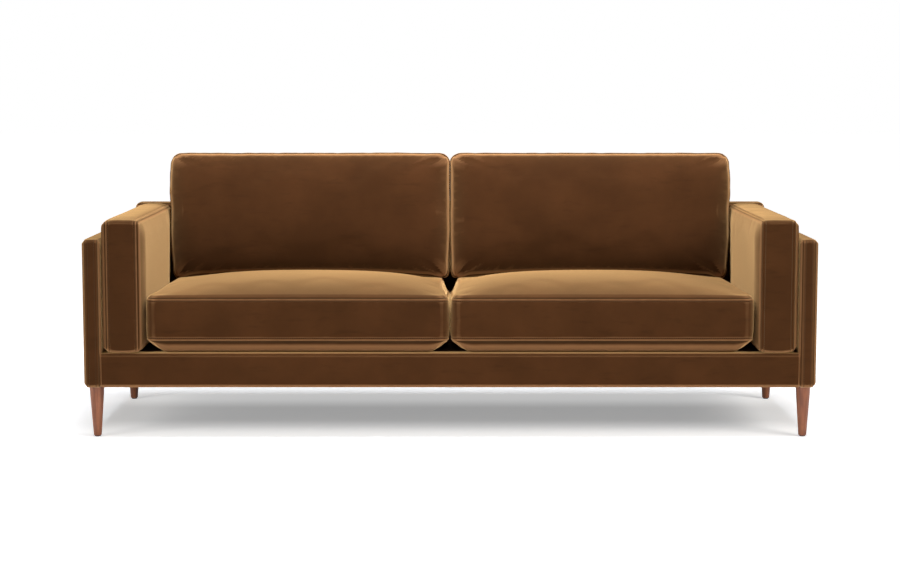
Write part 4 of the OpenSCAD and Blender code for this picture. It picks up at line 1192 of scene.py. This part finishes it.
def turn_out(obj):
    """Turns all faces of a piece outwards, since a mirrored form comes out inside out."""
    show_only(obj)
    bpy.ops.object.mode_set(mode="EDIT")
    bpy.ops.mesh.select_all(action="SELECT")
    bpy.ops.mesh.normals_make_consistent(inside=False)
    bpy.ops.object.mode_set(mode="OBJECT")


for piece in soft_pieces:
    turn_out(piece)

# Floor, world and lamps

FLOOR_SIZE, FLOOR_GREY = 60, (0.84, 0.84, 0.84)
# Core of the painted shadow on the floor under the sofa: axis, middle and half width
PAINTED_SHADOW_CORE = ((0, 0.0, 1.05), (1, 0.05, 0.12))
# Distances from it, and the whiteness the camera sees there: lower near the sofa as a painted shadow, white far off
LIFT_REACH = 4.0
FLOOR_WHITE_AND_PAINTED_SHADOW = ((0.0, 0.33), (0.16, 0.50), (0.45, 0.54), (1.5, 0.80), (4.0, 1.0))
WORLD_LEVEL = 0.03
SKY_WHITE, LAMP_WHITE = (0.96, 1.0, 1.07), (1.0, 0.98, 0.95)
# Name, place, aim, size, watts and colour
LAMPS = (
    ("overhead_lamp", (0.0, -0.33, 2.4), (0.0, -0.1, 0.4), (2.6, 1.2), 126, SKY_WHITE),
    ("right_key_lamp", (3.6, -2.6, 2.6), (0.0, 0.0, 0.5), (2.2, 2.2), 138, LAMP_WHITE),
    ("left_fill_lamp", (-3.8, -3.0, 2.0), (0.0, 0.0, 0.5), (2.4, 2.4), 97, LAMP_WHITE),
)


def background_rays(tree):
    """1 where the camera, a reflection or clear glass looks at the background, else 0."""
    path = put(tree, "ShaderNodeLightPath").outputs
    seen = math_node(tree, "MAXIMUM", path["Is Camera Ray"], path["Is Glossy Ray"])
    return math_node(tree, "MAXIMUM", seen, path["Is Transmission Ray"])


def add_floor():
    """A pale floor that takes the sofa's shadow; what the camera sees of it whitens away from the sofa, painting a
    soft shadow round it.
    """
    bpy.ops.object.select_all(action="DESELECT")
    bpy.ops.mesh.primitive_plane_add(size=FLOOR_SIZE, location=(0, 0, 0))
    floor = bpy.context.active_object
    floor.name = "studio_floor"
    bpy.ops.object.transform_apply(location=True, rotation=True, scale=True)
    material = bpy.data.materials.new("studio_floor")
    material.use_nodes = True
    tree = material.node_tree
    tree.nodes.clear()
    split = put(tree, "ShaderNodeSeparateXYZ", Vector=object_place(tree))
    squares = []
    for axis, middle, reach in PAINTED_SHADOW_CORE:
        from_middle = math_node(tree, "ABSOLUTE", math_node(tree, "SUBTRACT", split.outputs[axis], middle))
        outside = math_node(tree, "MAXIMUM", math_node(tree, "SUBTRACT", from_middle, reach), 0.0)
        squares.append(math_node(tree, "MULTIPLY", outside, outside))
    # Painted shadow: the camera-seen whiteness grows with distance from the sofa's core
    from_sofa = math_node(tree, "SQRT", math_node(tree, "ADD", *squares))
    level = put(tree, "ShaderNodeValToRGB", Fac=math_node(tree, "DIVIDE", from_sofa, LIFT_REACH))
    ramp = level.color_ramp
    while len(ramp.elements) < len(FLOOR_WHITE_AND_PAINTED_SHADOW):
        ramp.elements.new(0.5)
    for stop, (distance, white) in zip(ramp.elements, FLOOR_WHITE_AND_PAINTED_SHADOW):
        stop.position = distance / LIFT_REACH
        stop.color = (white, white, white, 1)
    lift = put(tree, "ShaderNodeEmission",
               Strength=math_node(tree, "MULTIPLY", background_rays(tree), level.outputs[0]))
    both = put(tree, "ShaderNodeAddShader")
    feed(tree, both.inputs[0], put(tree, "ShaderNodeBsdfDiffuse", Color=FLOOR_GREY).outputs[0])
    feed(tree, both.inputs[1], lift.outputs[0])
    put(tree, "ShaderNodeOutputMaterial", Surface=both.outputs[0])
    floor.data.materials.append(material)


def add_world():
    """A white background for what looks straight at it, and a faint even light for the rest."""
    world = bpy.data.worlds.new("studio_world")
    world.use_nodes = True
    tree = world.node_tree
    tree.nodes.clear()
    strength = ranged(tree, background_rays(tree), 0.0, 1.0, WORLD_LEVEL, 1.0)
    sky = put(tree, "ShaderNodeBackground", Color=(1, 1, 1), Strength=strength)
    put(tree, "ShaderNodeOutputWorld", Surface=sky.outputs[0])
    bpy.context.scene.world = world


def add_lamp(name, at, aim, size, watts, colour):
    data = bpy.data.lights.new(name, "AREA")
    data.color = colour
    data.shape = "RECTANGLE"
    data.size, data.size_y = size
    data.energy = watts
    lamp = bpy.data.objects.new(name, data)
    bpy.context.scene.collection.objects.link(lamp)
    lamp.location = at
    lamp.rotation_euler = (Vector(aim) - Vector(at)).to_track_quat("-Z", "Y").to_euler()


add_floor()
add_world()
for lamp in LAMPS:
    add_lamp(*lamp)

for tree in [*bpy.data.node_groups, *[made.node_tree for made in bpy.data.materials if made.use_nodes]]:
    spread_nodes(tree)

bpy.context.scene.view_settings.view_transform = "Standard"
